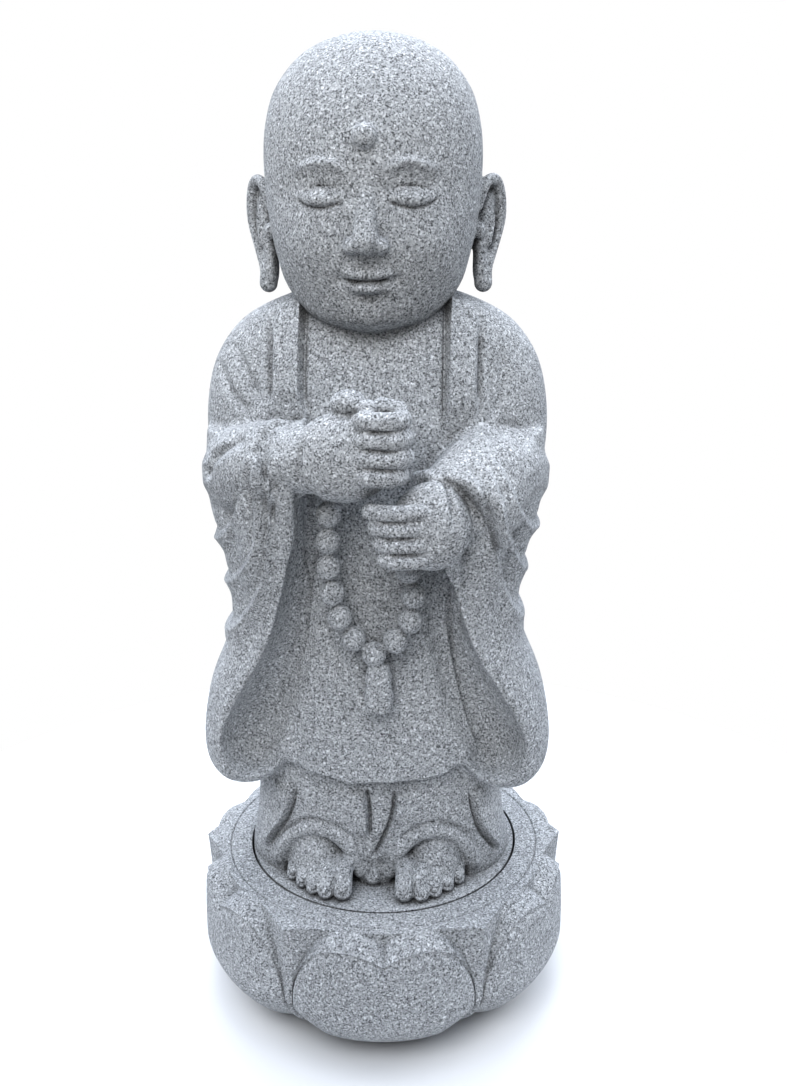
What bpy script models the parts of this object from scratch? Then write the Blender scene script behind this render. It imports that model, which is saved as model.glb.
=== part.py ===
"""Garden statue of a standing child monk on a round lotus base.

Two pieces of granite: the figure with its round foot disc carved from one stone, and the
lotus base with a shallow round recess that the disc sits in. Metres, +Z up, front at -Y.
"""
import math

import bmesh
import bpy
import numpy as np
from mathutils import Matrix, Vector
from mathutils.bvhtree import BVHTree

# Overall sizes
STATUE_HEIGHT = 1.000
BASE_RADIUS = 0.2075
BASE_HEIGHT = 0.158
BASE_FOOT_RADIUS = 0.150
DISC_RADIUS = 0.148
RECESS_DEPTH = 0.030
RADIAL_GAP = 0.0017
SEAT_GAP = 0.0003

# Lotus base
PETAL_COUNT = 6
LOTUS_TURN = 3.3
STEPS_PER_PETAL = 20
FACE_ROWS = 8
BAND_ROWS = 3
BELLY_HEIGHT = 0.068
BOWL_CLOSING = 0.004
PETAL_BULGE = 0.0090
PETAL_LEAN = 0.06
PETAL_EDGE = 0.955
PETAL_FOOT = 0.62
PETAL_WAIST = 0.42
LOBE_PLACE = 0.42
LOBE_HEIGHT = 0.93
CLEFT_DEPTH = 0.11
BACK_PETAL_DEPTH = 0.0180
BACK_PETAL_TIP = -0.0010
BACK_PETAL_WIDTH = 0.50
STEM_SHARE = 0.50
RING_SHARE = 0.8386
RIM_SHARE = 0.8602

# Figure, fusing and smoothing
FUSE_SIZE = 0.0042
FUSE_SMOOTHING = 1
CLOTH_SMOOTHING = 3
FIGURE_TRIANGLES = 6000
ROUND_STEPS = 40
TUBE_STEPS = 14
LOFT_STEPS = 4
PATH_STEPS = 12
TRACE_SMOOTHING = 12
FINEST_LINE = 0.0040

# Sizes that the figure's forms are drawn at
DRAWN_FLOOR = 0.158
DRAWN_TOP = 1.000
DRAWN_DISC = 0.148

# Head
CROWN_LOSS = 0.0020
HEAD_TOP = DRAWN_TOP + CROWN_LOSS
CHIN_HEIGHT = 0.735
HEAD_HALF_WIDTH = 0.1030
HEAD_HALF_DEPTH = 0.1080
HEAD_CENTRE_Y = -0.014
EAR_OUT = 0.1215
EAR_TOP = 0.872
EAR_LOBE = 0.776
MARK_HEIGHT = 0.905
MARK_RADIUS = 0.011
EYE_SHARE = 0.44
NOSE_SHARE = 0.285
MOUTH_SHARE = 0.185

# Robe and sleeves
SHOULDER_HALF = 0.172
MANTLE_DEPTH = 0.100
ROBE_HEM = 0.300
ROBE_FRONT = 0.118
HEM_DIP = 0.014
SLEEVE_FOOT = 0.273
BAND_CENTRE = 0.083
BAND_HALF = 0.016
BAND_RISE = 0.0080
SKIRT_HALF = 0.138
ARCH_HALF = 0.046
ARCH_HEIGHT = 0.068
ROLL_RADIUS = 0.0090
SKIRT_DEPTH = 0.101
LEFT_STEPS = (
    ((-0.103, 0.656), (-0.108, 0.635), (-0.112, 0.612), (-0.119, 0.588), (-0.127, 0.566), (-0.148, 0.548)),
    ((-0.091, 0.659), (-0.096, 0.643), (-0.100, 0.620), (-0.104, 0.585), (-0.109, 0.556), (-0.117, 0.530),
     (-0.143, 0.503)),
    ((-0.079, 0.662), (-0.083, 0.640), (-0.087, 0.612), (-0.093, 0.572), (-0.098, 0.533), (-0.107, 0.500),
     (-0.146, 0.456)),
)
RIGHT_STEPS = (
    ((0.085, 0.646), (0.108, 0.636), (0.126, 0.612), (0.133, 0.588), (0.153, 0.552)),
    ((0.082, 0.642), (0.100, 0.628), (0.114, 0.608), (0.123, 0.574), (0.134, 0.532), (0.151, 0.503)),
    ((0.074, 0.636), (0.088, 0.624), (0.102, 0.602), (0.111, 0.564), (0.122, 0.510), (0.138, 0.470),
     (0.155, 0.452)),
)
STEP_RISE = 0.0075
STEP_WIDTH = 0.0045
STEP_FALL = 0.0120
ARM_CREASES = (
    ((-0.165, 0.602), (-0.153, 0.620), (-0.141, 0.634), (-0.105, 0.654), (-0.080, 0.664)),
    ((0.075, 0.640), (0.101, 0.648), (0.131, 0.648), (0.150, 0.634)),
)
ARM_FOLDS = (
    ((-0.139, 0.700), (-0.124, 0.674), (-0.100, 0.655)),
    ((-0.125, 0.720), (-0.105, 0.684), (-0.088, 0.662)),
    ((0.120, 0.712), (0.112, 0.680), (0.103, 0.652)),
    ((0.150, 0.700), (0.138, 0.672), (0.118, 0.652)),
)
INNER_FOLDS = (
    ((-0.058, 0.510), (-0.052, 0.470), (-0.042, 0.436), (-0.028, 0.404)),
    ((-0.056, 0.440), (-0.062, 0.400), (-0.072, 0.360)),
    ((0.058, 0.534), (0.062, 0.480), (0.070, 0.420), (0.084, 0.360)),
)
HEM_PLACES = (-0.078, -0.055, -0.030, 0.0, 0.030, 0.055, 0.082)
SKIRT_STEPS = (
    (((-0.013, 0.290), (-0.012, 0.246), (-0.010, 0.205)), 1),
    (((0.024, 0.290), (0.026, 0.261), (0.018, 0.230), (0.003, 0.190)), -1),
    (((-0.084, 0.290), (-0.086, 0.262), (-0.093, 0.224), (-0.112, 0.180)), 1),
    (((0.099, 0.290), (0.100, 0.262), (0.106, 0.224), (0.122, 0.180)), -1),
)
BACK_FOLDS = (
    ((0.030, 0.640), (0.034, 0.520), (0.040, 0.400), (0.044, 0.320)),
    ((0.075, 0.600), (0.080, 0.500), (0.086, 0.400), (0.088, 0.330)),
)
FIGURE_SHIFT = -0.003

# Hands, beads and feet
UPPER_HAND = Vector((-0.010, -0.163, 0.634))
LOWER_HAND = Vector((0.043, -0.163, 0.573))
UPPER_CUFF = Vector((-0.072, -0.140, 0.630))
LOWER_CUFF = Vector((0.084, -0.136, 0.576))
UPPER_CUFF_RADIUS = 0.037
LOWER_CUFF_RADIUS = 0.050
UPPER_LIP = ((-0.060, -0.122, 0.662, 0.0055), (-0.065, -0.152, 0.652, 0.0060),
             (-0.069, -0.160, 0.620, 0.0070), (-0.074, -0.150, 0.575, 0.0085))
LOWER_LIP = ((0.044, -0.120, 0.610, 0.0055), (0.060, -0.142, 0.614, 0.0065),
             (0.075, -0.158, 0.596, 0.0070), (0.080, -0.160, 0.565, 0.0080), (0.077, -0.146, 0.528, 0.0095))
SLEEVE_LIP = ((0.081, -0.132, 0.500, 0.0110), (0.103, -0.120, 0.436, 0.0115),
              (0.140, -0.110, 0.376, 0.0120), (0.167, -0.098, 0.326, 0.0125))
FINGER_RADIUS = 0.0086
BEAD_COUNT = 12
BEAD_RADIUS = 0.0123
TASSEL_X = 0.008
BEAD_LOOP_BOTTOM = 0.443
BEADS_Y = -0.127
FOOT_CENTRE_X = 0.060
TOES = ((0.0320, 0.1370, 0.0094), (0.0500, 0.1350, 0.0076), (0.0640, 0.1265, 0.0068),
        (0.0770, 0.1150, 0.0064), (0.0895, 0.1010, 0.0058))

# Stone
STONE_COLOUR = (0.46, 0.48, 0.51, 1.0)
STONE_ROUGHNESS = 0.85


def clear_scene():
    """Remove everything the new file starts with."""
    for thing in list(bpy.data.objects):
        bpy.data.objects.remove(thing, do_unlink=True)


def stone_material(name):
    """A plain grey stone."""
    material = bpy.data.materials.new(name)
    material.use_nodes = True
    shader = material.node_tree.nodes["Principled BSDF"]
    shader.inputs["Base Color"].default_value = STONE_COLOUR
    shader.inputs["Roughness"].default_value = STONE_ROUGHNESS
    shader.inputs["Metallic"].default_value = 0.0
    return material


def smooth_rows(rows, steps):
    """Rows of numbers with smooth in-between rows, through every given row."""
    table = np.array(rows, dtype=float)
    padded = np.vstack([2 * table[0] - table[1], table, 2 * table[-1] - table[-2]])
    result = []
    for index in range(1, len(padded) - 2):
        before, start, end, after = padded[index - 1:index + 3]
        for step in range(steps):
            t = step / steps
            result.append(0.5 * (2 * start + (end - before) * t
                                 + (2 * before - 5 * start + 4 * end - after) * t * t
                                 + (3 * start - 3 * end + after - before) * t ** 3))
    result.append(table[-1])
    return result


def add_ring(bm, centre, across, along, power, count):
    """One closed ring of edges, a circle at power 2 and squarer above it."""
    made = bmesh.ops.create_circle(bm, cap_ends=False, segments=count, radius=1.0)
    exponent = 2.0 / power
    for vert in made["verts"]:
        side, front = vert.co.x, vert.co.y
        vert.co = (centre + across * math.copysign(abs(side) ** exponent, side)
                   + along * math.copysign(abs(front) ** exponent, front))
    return list({edge for vert in made["verts"] for edge in vert.link_edges})


def skin_rings(bm, rings):
    """Walls between neighbouring rings, and a cap on both ends."""
    for first, second in zip(rings, rings[1:]):
        bmesh.ops.bridge_loops(bm, edges=first + second)
    bmesh.ops.edgeloop_fill(bm, edges=rings[0])
    bmesh.ops.edgeloop_fill(bm, edges=rings[-1])


def loft(bm, rows, power=2.0, mirror=1.0, count=ROUND_STEPS):
    """A form from level sections: height, centre x, centre y, half width, half depth."""
    rings = []
    for height, middle, back, width, depth in smooth_rows(rows, LOFT_STEPS):
        rings.append(add_ring(bm, Vector((mirror * middle, back, height)),
                              Vector((max(width, 0.001), 0, 0)),
                              Vector((0, max(depth, 0.001), 0)), power, count))
    skin_rings(bm, rings)


def tube(bm, rows, round_end=True):
    """A rounded limb along points: x, y, z, radius."""
    points = smooth_rows(rows, LOFT_STEPS)
    rings = []
    places = [Vector(point[:3]) for point in points]
    for index, place in enumerate(places):
        run = places[min(index + 1, len(places) - 1)] - places[max(index - 1, 0)]
        run.normalize()
        across = run.cross(Vector((0, 0, 1)))
        if across.length < 0.1:
            across = run.cross(Vector((0, 1, 0)))
        across.normalize()
        lift = across.cross(run).normalized()
        radius = points[index][3]
        stations = [(0.0, 1.0)]
        if index == 0:
            stations = [(-math.cos(a), math.sin(a)) for a in (0.25, 0.7, 1.15)] + stations
        if index == len(places) - 1 and round_end:
            stations = stations + [(math.cos(a), math.sin(a)) for a in (1.15, 0.7, 0.25)]
        for shift, share in stations:
            rings.append(add_ring(bm, place + run * (shift * radius), across * (radius * share),
                                  lift * (radius * share), 2.0, TUBE_STEPS))
    skin_rings(bm, rings)


def ball(bm, centre, half):
    """An ellipsoid with its own half sizes."""
    place = Matrix.Translation(Vector(centre)) @ Matrix.Diagonal((*half, 1.0))
    bmesh.ops.create_uvsphere(bm, u_segments=20, v_segments=12, radius=1.0, matrix=place)


def form_object(name, build):
    """A hidden working object filled by a build function."""
    bm = bmesh.new()
    build(bm)
    bmesh.ops.recalc_face_normals(bm, faces=bm.faces)
    mesh = bpy.data.meshes.new(name)
    bm.to_mesh(mesh)
    bm.free()
    thing = bpy.data.objects.new(name, mesh)
    bpy.context.collection.objects.link(thing)
    return thing


def apply_modifiers(thing):
    """Bake an object's modifiers into its mesh."""
    graph = bpy.context.evaluated_depsgraph_get()
    mesh = bpy.data.meshes.new_from_object(thing.evaluated_get(graph))
    thing.modifiers.clear()
    thing.data = mesh


def combine(thing, other, operation):
    """Exact Boolean of two working objects. The second one is used up."""
    modifier = thing.modifiers.new("Boolean", "BOOLEAN")
    modifier.operation = operation
    modifier.solver = "EXACT"
    modifier.object = other
    apply_modifiers(thing)
    bpy.data.objects.remove(other, do_unlink=True)


def fuse(things, name, smoothing):
    """Join working objects into one skin of even cells, lightly smoothed."""
    bm = bmesh.new()
    for thing in things:
        bm.from_mesh(thing.data)
        bpy.data.objects.remove(thing, do_unlink=True)
    mesh = bpy.data.meshes.new(name)
    bm.to_mesh(mesh)
    bm.free()
    fused = bpy.data.objects.new(name, mesh)
    bpy.context.collection.objects.link(fused)
    remesh = fused.modifiers.new("Remesh", "REMESH")
    remesh.mode = "VOXEL"
    remesh.voxel_size = FUSE_SIZE
    smooth = fused.modifiers.new("Smooth", "SMOOTH")
    smooth.factor = 0.5
    smooth.iterations = smoothing
    apply_modifiers(fused)
    return fused


def build_head(bm):
    """Egg-shaped head with full cheeks, long ears and the round mark on the brow."""
    span = HEAD_TOP - CHIN_HEIGHT
    shares = ((0.004, 0.25, 0.26, -0.030), (0.05, 0.58, 0.56, -0.020), (0.15, 0.80, 0.79, -0.008),
              (0.25, 0.890, 0.90, -0.004), (0.36, 0.952, 0.96, -0.002), (0.47, 0.985, 0.99, 0.0),
              (0.59, 1.0, 1.0, 0.002), (0.70, 0.975, 0.97, 0.004), (0.81, 0.89, 0.88, 0.008),
              (0.905, 0.70, 0.70, 0.011), (0.962, 0.47, 0.47, 0.013), (0.992, 0.22, 0.22, 0.014))
    rows = [(CHIN_HEIGHT + up * span, 0, HEAD_CENTRE_Y + shift, wide * HEAD_HALF_WIDTH,
             deep * HEAD_HALF_DEPTH) for up, wide, deep, shift in shares]
    loft(bm, rows)
    ball(bm, (0, HEAD_CENTRE_Y - HEAD_HALF_DEPTH * 0.965, MARK_HEIGHT),
         (MARK_RADIUS,) * 3)
    build_face(bm)


def build_face(bm):
    """The nose, from the brow to its rounded tip."""
    span = HEAD_TOP - CHIN_HEIGHT
    eye_line = CHIN_HEIGHT + EYE_SHARE * span
    nose_base = CHIN_HEIGHT + NOSE_SHARE * span
    front = HEAD_CENTRE_Y - HEAD_HALF_DEPTH
    tube(bm, ((0, front + 0.010, eye_line + 0.016, 0.0085), (0, front + 0.002, eye_line - 0.010, 0.0090),
              (0, front - 0.003, nose_base + 0.008, 0.0115)))
    for side in (-1, 1):
        ball(bm, (side * 0.0118, front + 0.003, nose_base + 0.004), (0.0076, 0.010, 0.0070))


def build_ears(bm):
    """Long ears: a rolled rim, a hollow, an inner fold and a lobe that reaches the shoulder."""
    for side in (-1, 1):
        loft(bm, ((EAR_LOBE - 0.004, 0.103, 0.0, 0.005, 0.009),
                  (EAR_LOBE + 0.010, 0.103, 0.0, 0.008, 0.012),
                  (EAR_LOBE + 0.030, 0.102, 0.001, 0.007, 0.012),
                  (EAR_TOP - 0.040, 0.104, 0.006, 0.010, 0.014),
                  (EAR_TOP - 0.018, 0.106, 0.010, 0.010, 0.014),
                  (EAR_TOP - 0.004, 0.106, 0.010, 0.005, 0.009)),
             mirror=side, count=TUBE_STEPS)
        tube(bm, ((side * 0.099, -0.014, EAR_TOP - 0.026, 0.0042),
                  (side * 0.106, -0.010, EAR_TOP - 0.004, 0.0052),
                  (side * 0.115, 0.002, EAR_TOP, 0.0055),
                  (side * (EAR_OUT - 0.001), 0.010, EAR_TOP - 0.013, 0.0056),
                  (side * EAR_OUT, 0.013, EAR_TOP - 0.036, 0.0054),
                  (side * 0.1145, 0.008, EAR_TOP - 0.064, 0.0052),
                  (side * 0.1075, 0.001, EAR_LOBE + 0.014, 0.0070),
                  (side * 0.1055, -0.003, EAR_LOBE, 0.0092)))
        tube(bm, ((side * 0.106, 0.000, EAR_TOP - 0.020, 0.0035),
                  (side * 0.112, 0.000, EAR_TOP - 0.036, 0.0040),
                  (side * 0.109, -0.004, EAR_TOP - 0.058, 0.0040)))
        ball(bm, (side * 0.100, -0.013, EAR_TOP - 0.046), (0.006, 0.006, 0.008))


def build_robe(bm):
    """Mantle over the shoulders and the long robe down to its hem."""
    loft(bm, ((0.775, 0, 0.006, 0.060, 0.046), (0.757, 0, 0.008, 0.108, 0.060),
              (0.737, 0, 0.008, 0.139, 0.074), (0.703, 0, 0.006, 0.162, 0.088),
              (0.659, 0, 0.004, SHOULDER_HALF, 0.097), (0.615, 0, 0.003, SHOULDER_HALF, MANTLE_DEPTH),
              (0.570, 0, 0.003, 0.163, MANTLE_DEPTH), (0.520, 0, 0.003, 0.140, 0.098),
              (0.460, 0, 0.003, 0.100, 0.090)), power=2.25)
    first = len(bm.verts)
    loft(bm, ((0.600, 0, 0.004, 0.110, 0.092), (0.520, 0, 0.0, 0.106, 0.100),
              (0.440, 0, -0.002, 0.108, 0.108), (0.360, 0, -0.003, 0.124, 0.112),
              (ROBE_HEM + 0.012, 0, -0.003, 0.137, ROBE_FRONT - 0.004),
              (ROBE_HEM, 0, -0.003, 0.137, ROBE_FRONT - 0.004)), power=2.4)
    bm.verts.ensure_lookup_table()
    for vert in list(bm.verts)[first:]:
        low = max(0.0, 1.0 - (vert.co.z - ROBE_HEM) / 0.10)
        if vert.co.y < 0.0:
            vert.co.z -= HEM_DIP * low * math.exp(-(vert.co.x / 0.045) ** 2)


def build_skirt(bm):
    """Lower robe below the hem, down to the foot disc."""
    loft(bm, ((0.320, 0, -0.003, SKIRT_HALF - 0.012, 0.100), (0.260, 0, -0.003, SKIRT_HALF - 0.006, 0.101),
              (0.200, 0, -0.002, SKIRT_HALF, 0.101), (0.168, 0, 0.0, SKIRT_HALF + 0.006, 0.101),
              (DRAWN_FLOOR - 0.012, 0, 0.0, SKIRT_HALF + 0.006, 0.099)), power=2.5)


def build_foot_room(bm):
    """Arched rooms under the skirt's front edge for the two feet."""
    for side in (-1, 1):
        ball(bm, (side * FOOT_CENTRE_X, -0.110, DRAWN_FLOOR - 0.006),
             (ARCH_HALF, 0.058, ARCH_HEIGHT))


def skirt_front(x):
    """How far forward the skirt's surface lies at a place across, near its foot."""
    return -SKIRT_DEPTH * (1.0 - min(1.0, abs(x) / (SKIRT_HALF + 0.004)) ** 2.5) ** 0.4


def build_foot_rolls(bm):
    """The thick rolled edge of the skirt over each foot."""
    for side in (-1, 1):
        rows = []
        for turn in (0.30, 0.7, 1.15, 1.57, 2.0, 2.45, 2.85):
            x = FOOT_CENTRE_X + ARCH_HALF * math.cos(turn)
            rows.append((side * x, skirt_front(x) + 0.003,
                         DRAWN_FLOOR - 0.004 + ARCH_HEIGHT * math.sin(turn), ROLL_RADIUS))
        tube(bm, rows)


def build_sleeve(bm, side):
    """Hanging sleeve: forearm, cuff, rolled lip and a wide round foot."""
    loft(bm, ((0.640, 0.118, -0.020, 0.050, 0.066), (0.580, 0.116, -0.030, 0.052, 0.076),
              (0.500, 0.102, -0.038, 0.047, 0.080), (0.440, 0.103, -0.038, 0.046, 0.084),
              (0.380, 0.117, -0.038, 0.055, 0.086), (0.330, 0.128, -0.038, 0.054, 0.086),
              (0.298, 0.132, -0.038, 0.049, 0.080), (0.280, 0.134, -0.038, 0.037, 0.068),
              (SLEEVE_FOOT, 0.136, -0.038, 0.022, 0.050)), power=2.3, mirror=side)
    cuff = UPPER_CUFF if side < 0 else LOWER_CUFF
    wide = UPPER_CUFF_RADIUS if side < 0 else LOWER_CUFF_RADIUS
    tube(bm, ((side * 0.128, -0.030, 0.592, 0.048), (side * 0.114, -0.085, 0.606, 0.046),
              (cuff.x, cuff.y, cuff.z, wide)), round_end=False)
    loft(bm, ((0.400, 0.104, -0.080, 0.022, 0.036), (0.440, 0.100, -0.084, 0.026, 0.042),
              (0.500, 0.098, -0.090, 0.030, 0.048), (0.550, 0.097, -0.096, 0.032, 0.052),
              (0.600, 0.097, -0.100, 0.032, 0.052), (0.625, 0.098, -0.100, 0.026, 0.044)), mirror=side)
    lip = UPPER_LIP if side < 0 else LOWER_LIP
    tube(bm, lip + tuple((side * x, y, z, radius) for x, y, z, radius in SLEEVE_LIP))


def build_sleeve_room(bm, side):
    """The long hollow of a sleeve's mouth, open to the front and inward."""
    loft(bm, ((0.562, 0.062, -0.124, 0.006, 0.018), (0.540, 0.062, -0.126, 0.014, 0.030),
              (0.500, 0.062, -0.128, 0.021, 0.038), (0.440, 0.074, -0.130, 0.027, 0.044),
              (0.380, 0.098, -0.130, 0.037, 0.052), (0.335, 0.117, -0.126, 0.038, 0.052),
              (0.308, 0.121, -0.120, 0.028, 0.044), (0.293, 0.122, -0.114, 0.012, 0.030)), mirror=side)


def build_hands(bm):
    """Two fists, one over the other, with curled fingers."""
    hand = UPPER_HAND
    ball(bm, hand + Vector((-0.008, 0.004, 0.002)), (0.047, 0.031, 0.041))
    tube(bm, ((-0.095, -0.118, hand.z - 0.006, 0.028), (-0.050, -0.150, hand.z - 0.003, 0.031)))
    for index in range(4):
        level = hand.z + 0.0390 - 0.0164 * index
        reach = 0.002 * (index in (1, 2)) - 0.002 * (index == 3)
        tube(bm, ((hand.x + 0.010, hand.y - 0.020, level, FINGER_RADIUS),
                  (hand.x + 0.034 + reach, hand.y - 0.024, level, FINGER_RADIUS * 1.03),
                  (hand.x + 0.044 + reach, hand.y - 0.010, level, FINGER_RADIUS),
                  (hand.x + 0.034 + reach, hand.y + 0.008, level, FINGER_RADIUS)))
    ball(bm, hand + Vector((0.018, 0.000, 0.028)), (0.026, 0.020, 0.020))
    tube(bm, ((hand.x + 0.026, hand.y - 0.002, hand.z + 0.048, 0.0090),
              (hand.x + 0.040, hand.y - 0.004, hand.z + 0.046, 0.0085)))
    ball(bm, hand + Vector((-0.004, 0.004, 0.050)), (0.0165, 0.014, 0.0125))
    ball(bm, hand + Vector((0.014, -0.008, 0.047)), (0.0095, 0.009, 0.0090))
    hand = LOWER_HAND
    ball(bm, hand + Vector((0.016, 0.004, 0)), (0.037, 0.029, 0.041))
    tube(bm, ((0.102, -0.110, hand.z + 0.008, 0.032), (0.064, -0.146, hand.z + 0.002, 0.034)))
    for index in range(4):
        level = hand.z + 0.0190 - 0.0148 * index
        reach = 0.0045 * index
        tube(bm, ((hand.x + 0.008, hand.y - 0.018, level, FINGER_RADIUS * 0.86),
                  (hand.x - 0.018 + reach * 0.5, hand.y - 0.023, level, FINGER_RADIUS * 0.90),
                  (hand.x - 0.038 + reach, hand.y - 0.016, level, FINGER_RADIUS * 0.88)))


def bead_places():
    """Centres of the beads that hang in a loop below the hands, one bead apart."""
    low = BEAD_LOOP_BOTTOM
    path = smooth_rows(((-0.036, low + 0.157), (-0.038, low + 0.110), (-0.038, low + 0.078),
                        (-0.028, low + 0.030), (0.002, low - 0.007), (0.034, low + 0.018),
                        (0.042, low + 0.048), (0.037, low + 0.078)), 24)
    stretches = [math.hypot(*(after - before)) for before, after in zip(path, path[1:])]
    gap = 0.9999 * sum(stretches) / (BEAD_COUNT - 1)
    places = []
    travelled = 0.0
    for before, after, stretch in zip(path, path[1:], stretches):
        while travelled <= stretch:
            x, z = before + (after - before) * (travelled / stretch)
            places.append(Vector((x, BEADS_Y, z)))
            travelled += gap
        travelled -= stretch
    return places


def build_beads(bm):
    """Prayer beads and their tassel, lying on the front of the robe."""
    for place in bead_places():
        ball(bm, place, (BEAD_RADIUS,) * 3)
    low = BEAD_LOOP_BOTTOM
    loft(bm, ((low - 0.061, TASSEL_X, BEADS_Y + 0.001, 0.0140, 0.010),
              (low - 0.044, TASSEL_X, BEADS_Y + 0.001, 0.0148, 0.012),
              (low - 0.033, TASSEL_X, BEADS_Y + 0.001, 0.0125, 0.011),
              (low - 0.028, TASSEL_X, BEADS_Y + 0.001, 0.0140, 0.012),
              (low - 0.022, TASSEL_X, BEADS_Y + 0.001, 0.0125, 0.011),
              (low - 0.012, TASSEL_X, BEADS_Y + 0.001, 0.0100, 0.010)), count=TUBE_STEPS)


def build_feet(bm):
    """Bare feet with five toes each."""
    for side in (-1, 1):
        loft(bm, ((DRAWN_FLOOR - 0.010, FOOT_CENTRE_X, -0.060, 0.037, 0.046),
                  (DRAWN_FLOOR + 0.008, FOOT_CENTRE_X, -0.060, 0.037, 0.048),
                  (DRAWN_FLOOR + 0.024, FOOT_CENTRE_X, -0.060, 0.037, 0.047),
                  (DRAWN_FLOOR + 0.042, FOOT_CENTRE_X, -0.058, 0.031, 0.038),
                  (DRAWN_FLOOR + 0.056, FOOT_CENTRE_X, -0.052, 0.016, 0.022)), mirror=side)
        for place, tip, size in TOES:
            low = DRAWN_FLOOR + size * 0.85
            tube(bm, ((side * (place * 0.94 + 0.003), 0.040 - tip, low + 0.017, size * 1.02),
                      (side * (place * 0.98 + 0.001), 0.026 - tip, low + 0.014, size * 0.98),
                      (side * place, 0.013 - tip, low + 0.005, size * 0.95),
                      (side * place, size - tip, low, size * 0.98)))
    tube(bm, ((0.0, -0.088, 0.215, 0.010), (0.003, -0.093, 0.185, 0.009), (-0.002, -0.096, 0.166, 0.011)))


def disc_object(name, radius, low, high):
    """A plain round disc."""
    def build(bm):
        bmesh.ops.create_cone(bm, cap_ends=True, segments=96, radius1=radius, radius2=radius,
                              depth=high - low,
                              matrix=Matrix.Translation((0, 0, (high + low) / 2)))
    return form_object(name, build)


class Clay:
    """A fused skin that strokes and swells move. Paths are found on it, or on a plainer skin."""

    def __init__(self, mesh, traced=None):
        self.mesh = mesh
        count = len(mesh.vertices)
        self.places = np.empty(count * 3)
        mesh.vertices.foreach_get("co", self.places)
        self.places = self.places.reshape(-1, 3)
        self.normals = np.empty(count * 3)
        mesh.vertex_normals.foreach_get("vector", self.normals)
        self.normals = self.normals.reshape(-1, 3)
        self.moves = np.zeros((count, 3))
        outward = self.places * (1.0, 1.3, 0.0)
        self.outward = outward / (np.linalg.norm(outward, axis=1)[:, None] + 1e-9)
        source = traced or mesh
        self.tree = BVHTree.FromPolygons([v.co.copy() for v in source.vertices],
                                         [tuple(f.vertices) for f in source.polygons])

    def trace(self, points, facing):
        """A smooth path on the skin through (x, z) points seen from the front or the back."""
        found = []
        for x, z in smooth_rows(points, PATH_STEPS):
            place, normal, _, _ = self.tree.ray_cast(Vector((x, facing, z)), Vector((0, -facing, 0)))
            if place is None:
                place, normal, _, _ = self.tree.find_nearest(Vector((x, 0.06 * facing, z)))
            found.append((*place, *normal))
        path = np.array(found)
        for _ in range(TRACE_SMOOTHING):
            path[1:-1] = (path[:-2] + 2 * path[1:-1] + path[2:]) / 4
        path[:, 3:] /= np.linalg.norm(path[:, 3:], axis=1)[:, None]
        return path

    def near(self, path, reach):
        """Skin vertices near a path: index, distance, side of the path and share along it."""
        low = path[:, :3].min(axis=0) - reach
        high = path[:, :3].max(axis=0) + reach
        index = np.nonzero(np.all((self.places > low) & (self.places < high), axis=1))[0]
        offset = self.places[index][:, None, :] - path[None, :, :3]
        distance = np.sqrt((offset ** 2).sum(axis=2))
        closest = distance.argmin(axis=1)
        pick = np.arange(len(index))
        tangent = np.gradient(path[:, :3], axis=0)
        aside = np.cross(tangent, path[:, 3:])
        aside /= np.linalg.norm(aside, axis=1)[:, None] + 1e-9
        away = (offset[pick, closest] * aside[closest]).sum(axis=1)
        facing = (self.normals[index] * path[closest, 3:]).sum(axis=1)
        keep = (distance[pick, closest] < reach) & (facing > -0.2)
        share = closest / (len(path) - 1)
        return index[keep], distance[pick, closest][keep], away[keep], share[keep]

    def line(self, points, rise, width, facing=-1, fade=0.18):
        """A groove (rise below zero) or a ridge along a path, unless finer than the skin's cells."""
        if width < FINEST_LINE:
            return
        index, distance, _, share = self.near(self.trace(points, facing), width * 3)
        ends = np.clip(np.minimum(share, 1 - share) / fade, 0, 1)
        amount = rise * np.exp(-(distance / width) ** 2) * ends
        self.moves[index] += self.normals[index] * amount[:, None]

    def step(self, points, rise, width, fall, side=1, facing=-1, fade=(0.25, 0.06)):
        """A cloth edge: high on one side of a path and sinking back over a distance."""
        index, distance, away, share = self.near(self.trace(points, facing), fall * 2.2)
        away = away * side
        ends = np.clip(share / fade[0], 0, 1) * np.clip((1 - share) / fade[1], 0, 1)
        edge = np.clip(away / width + 0.5, 0, 1)
        body = np.exp(-(np.maximum(away, 0) / fall) ** 2)
        foot = -0.30 * np.exp(-((away + width) / (1.6 * width)) ** 2)
        rim = 0.30 * np.exp(-((away - 0.4 * width) / (0.6 * width)) ** 2)
        amount = rise * (edge * body + foot + rim) * ends
        self.moves[index] += self.outward[index] * amount[:, None]

    def swell(self, centre, half, rise, facing=-1):
        """A soft rise or hollow around an (x, z) centre."""
        x, z = centre
        far = ((self.places[:, 0] - x) / half[0]) ** 2 + ((self.places[:, 2] - z) / half[1]) ** 2
        front = np.clip(facing * self.normals[:, 1] / 0.3, 0, 1)
        self.moves += self.normals * (rise * np.exp(-far) * front)[:, None]

    def settle(self):
        """Move the skin by all strokes so far."""
        self.places += self.moves
        self.mesh.vertices.foreach_set("co", self.places.ravel())
        self.mesh.update()


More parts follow.
